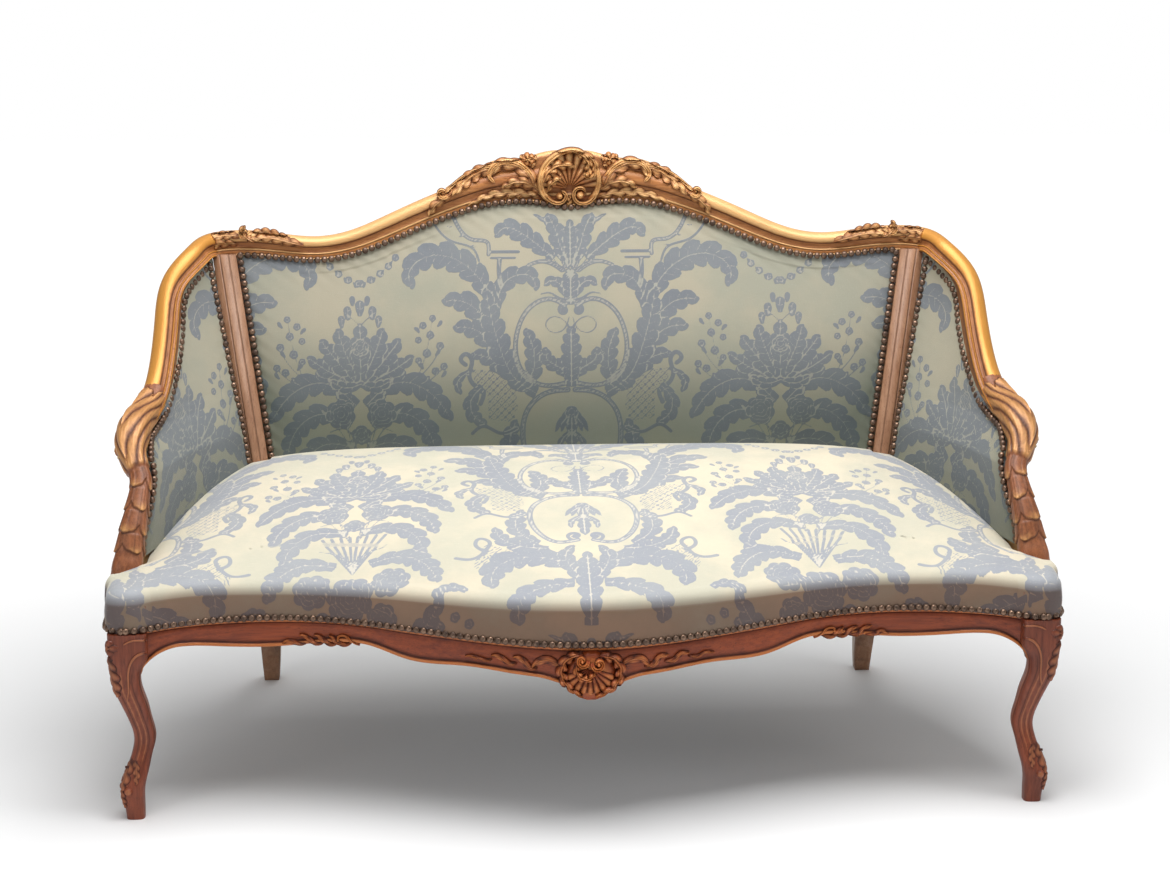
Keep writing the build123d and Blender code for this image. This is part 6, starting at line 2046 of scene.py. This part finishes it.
@dataclass
class Linings:
    """Outside covers behind the back and wings, and the black cloth under the seat."""

    plain: bpy.types.Material
    black: bpy.types.Material
    rails: ShowRails
    wings: WingPads

    def back(self) -> None:
        """Builds the outside back cover."""
        cols, rows, low = 121, 61, 0.337
        share = np.linspace(-1, 1, cols)
        top_x = share * (float(SIZE.stile_x(SIZE.stile_end)) - SIZE.stile_wide / 2 - 0.001)
        top_z = self.rails.under_z(top_x)[None, :] - 0.001
        z = low + (top_z - low) * np.linspace(0, 1, rows)[:, None]
        x = share[None, :] * (SIZE.stile_x(z) - SIZE.stile_wide / 2 - 0.001)
        bow = SIZE.back_bow * (1 - (x / SIZE.stile_x(z)) ** 2)
        gap = np.minimum((SIZE.stile_x(z) - 0.019) - np.abs(x), np.minimum(top_z - z, z - low))
        hollow = 0.0035 * (1 - np.exp(-gap / 0.05)) + 0.0006 * np.sin(x * 40) * np.exp(-gap / 0.03)
        y = SIZE.stile_y(z) + 0.0331 + bow - hollow
        held = ("back_post_left", "back_post_right", "crest_rail")
        self.sheet("outside_back", np.stack([x, y, z], axis=-1), (1.10, 0.50), "outside_back_cover", held)

    def sheet(
        self, name: str, places: Array, flat: Pair, node: str, held: Sequence[str],
        finish: bpy.types.Material | None = None, slot: str = "plain_cloth",
    ) -> None:
        """Makes a thin cloth from a grid of points.

        Args:
            name: the piece's name.
            places: rows × columns × 3.
            flat: not used.
            node: part of the frame that it stands for.
            held: not used.
            finish: its material; None is the plain cloth.
            slot: a name for the finish, handed on to dressed, which does not use it.
        """
        stock = Stock()
        stock.add(places.reshape(-1, 3), grid(*places.shape[:2]))
        piece = stock.piece(name, None)
        thick = piece.modifiers.new("cloth", "SOLIDIFY")
        thick.thickness, thick.offset = 0.0012, 0.0
        freeze(piece)
        dressed(piece, finish or self.plain, slot, node)

    def wing_backs(self) -> None:
        """Builds the outside wing covers."""
        far, heights = self.wings.border()
        for side, sign in (("right", 1), ("left", -1)):
            rows, cols = 71, 41
            top = float(heights[far > 0.026].max())
            z = np.linspace(0.349, top, rows)[:, None] * np.ones((1, cols))
            outer = np.interp(z[:, 0], heights, far)[:, None]
            near = self.wings.near
            reach = near + (outer - near) * np.linspace(0, 1, cols)[None, :]
            places = self.wings.surface(reach, z, np.full_like(z, -0.0141)) * (sign, 1, 1)
            held = (f"back_post_{side}", f"arm_support_{side}", f"arm_rail_{side}")
            self.sheet(f"outside_wing_{side}", places, (0.42, 0.42), f"outside_wing_cover_{side}", held)

    def dust_cover(self) -> None:
        """Builds the black cloth under the seat, sagging a little."""
        rows, cols = 41, 81
        t = np.linspace(0, 1, rows)[:, None]
        s = np.linspace(-1, 1, cols)[None, :]
        side = np.interp(-0.235 + 0.418 * t, [-0.235, -0.05, 0.183], [0.690, 0.655, 0.515])
        x = s * side
        near = SIZE.front_y(np.clip(np.abs(x), 0, 0.648)) + 0.021
        near = np.where(np.abs(x) > 0.648, -0.236, near)
        y = near + (0.205 - near) * t
        sag = 0.004 * np.sin(np.pi * t) * np.cos(np.pi * s / 2)
        z = 0.2688 - sag
        places, held = np.stack([x, y, z + 0 * x], axis=-1), ("front_seat_rail", "back_seat_rail")
        self.sheet("dust_cover", places, (1.42, 0.58), "seat_dust_cover", held, self.black, "black_cloth")

    def make(self) -> None:
        """Builds all the linings."""
        self.back()
        self.wing_backs()
        self.dust_cover()


# ------------------------------------------------------------------ nails
@dataclass
class NailRows:
    """Close rows of domed upholstery nails, each set on its place in the frame by geometry nodes."""

    finish: bpy.types.Material
    nodes: dict[str, bpy.types.Object]
    radius: float = 0.0056
    high: float = 0.0043
    proud: float = 0.0014
    uneven: float = 0.07
    seed: int = 11

    def heads(self, node: bpy.types.Object, toward: Callable[[Array], Array]) -> tuple[Array, Array]:
        """Finds the nails of one row.

        Args:
            node: the frame's row of nails.
            toward: the way a head at a place roughly looks.

        Returns:
            Middle and direction of each head.
        """
        mesh = node.data
        points = np.empty(len(mesh.vertices) * 3)
        mesh.vertices.foreach_get("co", points)
        points = points.reshape(-1, 3)
        keys, member = np.unique(np.round(points / 2e-6).astype(np.int64), axis=0, return_inverse=True)
        member = member.ravel()
        group = np.arange(len(keys))

        def root(i: int) -> int:
            """The first point of a point's nail."""
            while group[i] != i:
                group[i] = group[group[i]]
                i = group[i]
            return i

        for face in mesh.polygons:
            first, *rest = [root(int(member[i])) for i in face.vertices]
            for other in rest:
                group[root(other)] = root(first)
        roots = np.array([root(i) for i in range(len(keys))])
        places = keys * 2e-6
        centres, ways = [], []
        for mark in np.unique(roots):
            cluster = places[roots == mark]
            if len(cluster) < 6:
                continue
            middle = (cluster.min(0) + cluster.max(0)) / 2
            look = unit(toward(middle))
            spread = np.linalg.svd(cluster - cluster.mean(0))[2][-1]
            way = spread if spread @ look > 0 else -spread
            base = (cluster @ way).min()
            centres.append(cluster.mean(0) + way * (base - cluster.mean(0) @ way))
            ways.append(way)
        return np.array(centres), np.array(ways)

    def tree(self) -> bpy.types.GeometryNodeTree:
        """The node tree that sets a dome on each point."""
        group = bpy.data.node_groups.new("nail heads", "GeometryNodeTree")
        for name, kind in (
            ("Places", "Geometry"), ("Head radius", "Float"), ("Head height", "Float"), ("Unevenness", "Float"),
            ("Seed", "Int"), ("Finish", "Material"),
        ):
            group.interface.new_socket(name, in_out="INPUT", socket_type=f"NodeSocket{kind}")
        group.interface.new_socket("Nails", in_out="OUTPUT", socket_type="NodeSocketGeometry")
        put = Tree(group).node
        entry = put("NodeGroupInput").outputs
        dome = put("GeometryNodeMeshUVSphere", inputs={"Segments": 12, "Rings": 7, "Radius": entry["Head radius"]})
        share = put("ShaderNodeMath", {"operation": "DIVIDE"}, {0: entry["Head height"], 1: entry["Head radius"]})
        squash = put("ShaderNodeCombineXYZ", inputs={0: 1.0, 1: 1.0, 2: share.outputs[0]})
        flat = put("GeometryNodeTransform", inputs={"Geometry": dome.outputs["Mesh"], "Scale": squash.outputs[0]})
        smooth = put("GeometryNodeSetShadeSmooth", inputs={0: flat.outputs[0]})
        way = put("GeometryNodeInputNamedAttribute", {"data_type": "FLOAT_VECTOR"}, {"Name": "way"})
        spread = {"Min": (-1, -1, -1), "Max": (1, 1, 1), "Seed": entry["Seed"]}
        tilt = put("FunctionNodeRandomValue", {"data_type": "FLOAT_VECTOR"}, spread)
        uneven = {0: tilt.outputs[0], "Scale": entry["Unevenness"]}
        shift = put("ShaderNodeVectorMath", {"operation": "SCALE"}, uneven)
        both = put("ShaderNodeVectorMath", inputs={0: way.outputs[0], 1: shift.outputs[0]})
        turn = put("FunctionNodeAlignRotationToVector", {"axis": "Z"}, {"Vector": both.outputs[0]})
        spots = {"Points": entry["Places"], "Instance": smooth.outputs[0], "Rotation": turn.outputs[0]}
        place = put("GeometryNodeInstanceOnPoints", inputs=spots)
        real = put("GeometryNodeRealizeInstances", inputs={0: place.outputs[0]})
        coat = put("GeometryNodeSetMaterial", inputs={0: real.outputs[0], "Material": entry["Finish"]})
        put("NodeGroupOutput", inputs={0: coat.outputs[0]})
        return group

    def row(
        self, tree: bpy.types.GeometryNodeTree, node: str, toward: Callable[[Array], Array],
        turned: Point = (0, 0, 0), dip: float = 0.0,
    ) -> None:
        """Builds one row and sets it in the frame's place.

        Args:
            tree: the nodes that make the heads.
            node: the frame's row of nails.
            toward: the way a head at a place roughly looks.
            turned: a little turn that all the row's heads share.
            dip: how far the row sags under the middle of the crest's shell.
        """
        centres, ways = self.heads(self.nodes[node], toward)
        ways = unit(ways + np.array(turned))
        centres[:, 2] -= dip * np.exp(-((centres[:, 0] / 0.042) ** 2)) * (centres[:, 2] > 0.8)
        mesh = bpy.data.meshes.new(f"{node}_domed")
        mesh.from_pydata((centres + ways * self.proud).tolist(), [], [])
        layer = mesh.attributes.new("way", "FLOAT_VECTOR", "POINT")
        layer.data.foreach_set("vector", ways.astype(np.float32).ravel())
        piece = placed(f"{node}_domed", mesh)
        modifier = piece.modifiers.new("nails", "NODES")
        modifier.node_group = tree
        values = {
            "Head radius": self.radius, "Head height": self.high, "Unevenness": self.uneven, "Seed": self.seed,
            "Finish": self.finish,
        }
        for item in tree.interface.items_tree:
            if item.name in values and item.in_out == "INPUT":
                modifier[item.identifier] = values[item.name]
        bpy.context.view_layer.update()
        freeze(piece)
        log.info("%s: %d nails", node, len(centres))
        dressed(piece, self.finish, "antique_nails", node)

    def make(self) -> None:
        """Builds every row."""
        tree = self.tree()

        def seat(place: Array) -> Array:
            """Outwards from the seat."""
            x, y, _ = place
            return np.array([x * (abs(x) > 0.69), y - 0.25 if abs(x) < 0.7 else -0.02, 0.0])

        self.row(tree, "seat_nails", seat)
        self.row(tree, "back_nails", lambda place: np.array([0, -1.0, 0.1]), dip=0.0085)
        self.row(tree, "wing_nails_right", lambda place: np.array([-1.0, -0.4, 0.1]), (0, -0.7, 0.1))
        self.row(tree, "wing_nails_left", lambda place: np.array([1.0, -0.4, 0.1]), (0, -0.7, 0.1))


# ------------------------------------------------------------------ what the upholstery hides
@dataclass
class HiddenFrame:
    """Rails, blocks, springs and webbing that only show from behind or below."""

    nodes: dict[str, bpy.types.Object]
    finishes: tuple[tuple[bpy.types.Material, str, tuple[str, ...]], ...]

    def make(self) -> None:
        """Gives each part of the frame the finish of the names that its own starts with."""
        for name, node in self.nodes.items():
            for finish, slot, stems in self.finishes:
                if name.startswith(stems):
                    node.data.materials.clear()
                    node.data.materials.append(finish)


# ------------------------------------------------------------------ studio
@dataclass
class Studio:
    """Pale floor, soft lamps and the camera."""

    eye: Point = (-0.191, -3.7405, 1.395)
    pitch: float = 76.84
    yaw: float = -3.07
    lens: float = 75.1
    lift: float = 0.03

    def floor(self) -> None:
        """Lays the floor: white to the camera, with the sofa's own shadow on it."""
        r = Recipe("studio floor", specular_ior_level=0.2, roughness=0.9)
        rays = r.node("ShaderNodeLightPath").outputs
        seen = {0: rays["Is Camera Ray"], 1: rays["Is Glossy Ray"]}
        seen = r.node("ShaderNodeMath", {"operation": "MAXIMUM"}, seen)
        r.shader.inputs["Base Color"].default_value = (0.84, 0.84, 0.84, 1)
        glow = r.node("ShaderNodeEmission", inputs={"Color": (1, 1, 1, 1), "Strength": self.lift})
        both = r.node("ShaderNodeAddShader", inputs={0: r.shader.outputs[0], 1: glow.outputs[0]})
        paper = r.node("ShaderNodeEmission", inputs={"Color": (1, 1, 1, 1), "Strength": 1.1})
        x, y, _ = r.axes()
        away = ((x * x * 0.7 + (y + 0.1) * (y + 0.1)) ** 0.5).step(0.75, 1.7)
        shown = r.node("ShaderNodeMixShader", inputs={0: away, 1: both.outputs[0], 2: paper.outputs[0]})
        sides = {0: seen.outputs[0], 1: r.shader.outputs[0], 2: shown.outputs[0]}
        mix = r.node("ShaderNodeMixShader", inputs=sides)
        out = next(n for n in r.tree.nodes if n.type == "OUTPUT_MATERIAL")
        r.feed(out.inputs["Surface"], mix.outputs[0])
        stock = Stock()
        xs = np.linspace(-9, 9, 7)
        places = np.array([[(x, y, 0.0) for x in xs] for y in xs])
        stock.add(places.reshape(-1, 3), grid(7, 7))
        piece = stock.piece("floor", None)
        piece.data.materials.append(r.material)

    def world(self) -> None:
        """Sets the even light all round, white behind the sofa."""
        world = bpy.data.worlds.new("studio")
        world.use_nodes = True
        world.node_tree.nodes.clear()
        put = Tree(world.node_tree).node
        rays = put("ShaderNodeLightPath").outputs
        seen = {0: rays["Is Camera Ray"], 1: rays["Is Transmission Ray"]}
        either = put("ShaderNodeMath", {"operation": "MAXIMUM"}, seen)
        soft = put("ShaderNodeBackground", inputs={"Color": (0.98, 0.99, 1.0, 1), "Strength": 0.30})
        white = put("ShaderNodeBackground", inputs={"Color": (1, 1, 1, 1), "Strength": 1.0})
        mix = put("ShaderNodeMixShader", inputs={0: either.outputs[0], 1: soft.outputs[0], 2: white.outputs[0]})
        put("ShaderNodeOutputWorld", inputs={0: mix.outputs[0]})
        bpy.context.scene.world = world

    def lamp(self, name: str, place: Point, aim: Point, size: float, power: float) -> None:
        """Hangs a square soft lamp."""
        data = bpy.data.lights.new(name, "AREA")
        data.size, data.energy = size, power
        lamp = placed(name, data)
        lamp.location = place
        lamp.rotation_euler = (Vector(aim) - Vector(place)).to_track_quat("-Z", "Y").to_euler()

    def camera(self) -> None:
        """Sets up the camera."""
        data = bpy.data.cameras.new("camera")
        data.lens, data.sensor_width = self.lens, 36.0
        camera = placed("camera", data)
        camera.location = self.eye
        camera.rotation_euler = (math.radians(self.pitch), 0.0, math.radians(self.yaw))
        bpy.context.scene.camera = camera

    def make(self) -> None:
        """Builds the studio."""
        self.camera()
        self.floor()
        self.world()
        self.lamp("overhead", (0.1, -0.35, 2.9), (0, -0.1, 0.4), 2.2, 98)
        self.lamp("front left", (-2.6, -2.8, 1.9), (0, 0, 0.5), 1.8, 20)
        self.lamp("right", (2.9, -1.4, 1.6), (0, 0, 0.5), 1.5, 12)
        scene = bpy.context.scene
        scene.view_settings.view_transform = "Standard"


def main() -> None:
    """Builds every part of the sofa in order."""
    logging.basicConfig(level=logging.INFO, format="%(message)s")
    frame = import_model()
    nodes = frame["nodes"]
    Studio().make()
    gilt = WoodFinish("honey wood rubbed with gold", (222, 156, 92), (156, 92, 50), 0.5,
                      gold=(250, 208, 142), wax_and_shade=(76, 40, 22)).material()
    gilt_arm = WoodFinish("arm wood rubbed with gold", (196, 132, 78), (138, 82, 44), 0.85, Grain.RAKED,
                          (214, 150, 66), (80, 44, 24)).material()
    worn_gilt = WoodFinish("carved support wood", (170, 106, 66), (112, 62, 36), 0.6, Grain.UPRIGHT,
                           (226, 168, 104), (48, 25, 14)).material()
    red = WoodFinish("polished mahogany", (172, 80, 34), (108, 40, 14), 0.55, gold=(222, 140, 78),
                     wax_and_shade=(44, 18, 10)).material()
    red_leg = WoodFinish("polished mahogany, upright", (150, 76, 48), (92, 40, 24), 0.4, Grain.UPRIGHT,
                         (196, 128, 84), (50, 22, 14)).material()
    brown = WoodFinish("fluted walnut", (176, 134, 104), (132, 92, 66), 0.5, Grain.UPRIGHT, (206, 162, 116),
                       (78, 48, 32), fluted=True).material()
    beech = WoodFinish("planed beech", (204, 164, 112), (170, 126, 78), 0.0, gloss=0.62,
                       wax_and_shade=(150, 106, 64)).material()
    birch = WoodFinish("turned birch", (214, 184, 134), (188, 150, 100), 0.0, gloss=0.6,
                       wax_and_shade=(160, 120, 76)).material()
    damask = DamaskFinish().material()
    plain = ClothFinish("plain blue-green cloth", (150, 160, 150), (112, 124, 120)).material()
    black = ClothFinish("black cotton", (34, 34, 38), (16, 16, 18)).material()
    hessian = ClothFinish("hessian", (186, 158, 112), (120, 96, 62), 420.0, 0.001).material()
    webbing = ClothFinish("jute webbing", (176, 150, 108), (104, 82, 54), 300.0, 0.001).material()
    felt = ClothFinish("wadding", (214, 206, 188), (176, 168, 150), 160.0, 0.002).material()
    brass = MetalFinish("antiqued nails", (136, 110, 92), (64, 49, 41), 0.75, 0.30).material()
    steel = MetalFinish("steel", (168, 170, 172), (108, 100, 92), 0.4, 0.3).material()

    rails = ShowRails()
    CrestCarving(rails, gilt).make()
    Arms(rails, gilt_arm, worn_gilt).make()
    FrontLegs(red_leg).make()
    Apron(red).make()
    Posts(brown, nodes).make()
    cartoon = Cartoon()
    BackPad(damask, cartoon, rails).make()
    wings = WingPads(damask, cartoon)
    wings.make()
    SeatPad(damask, cartoon, wings).make()
    Linings(plain, black, rails, wings).make()
    NailRows(brass, nodes).make()
    side = WoodFinish("side rail mahogany", (150, 76, 42), (92, 42, 24), 0.2, Grain.RAKED).material()
    HiddenFrame(nodes, (
        (side, "mahogany", ("side_seat_rail",)),
        (beech, "beech", ("back_seat_rail", "back_lower_rail", "wing_lower_rail", "front_corner_block",
                          "back_corner_block")),
        (steel, "steel", ("corner_block_screws", "seat_springs")),
        (birch, "birch", ("frame_dowels",)),
        (webbing, "webbing", ("seat_webbing", "back_webbing")),
        (hessian, "hessian", ("seat_hessian", "back_hessian")),
        (felt, "stuffing", ("seat_stuffing", "back_stuffing", "wing_stuffing")),
        (damask, "damask", ("seat_cover", "back_cover", "wing_cover")),
        (plain, "plain_cloth", ("outside_back_cover", "outside_wing_cover")),
        (black, "black_cloth", ("seat_dust_cover",)),
        (red_leg, "mahogany", ("front_leg",)),
        (red, "mahogany", ("front_seat_rail",)),
        (brown, "walnut", ("back_post",)),
        (gilt, "gilded_wood", ("crest_rail",)),
        (gilt_arm, "gilded_wood", ("arm_rail",)),
        (worn_gilt, "gilded_wood", ("arm_support",)),
        (brass, "antique_nails", ("seat_nails", "back_nails", "wing_nails")),
    )).make()


if __name__ == "__main__":
    main()
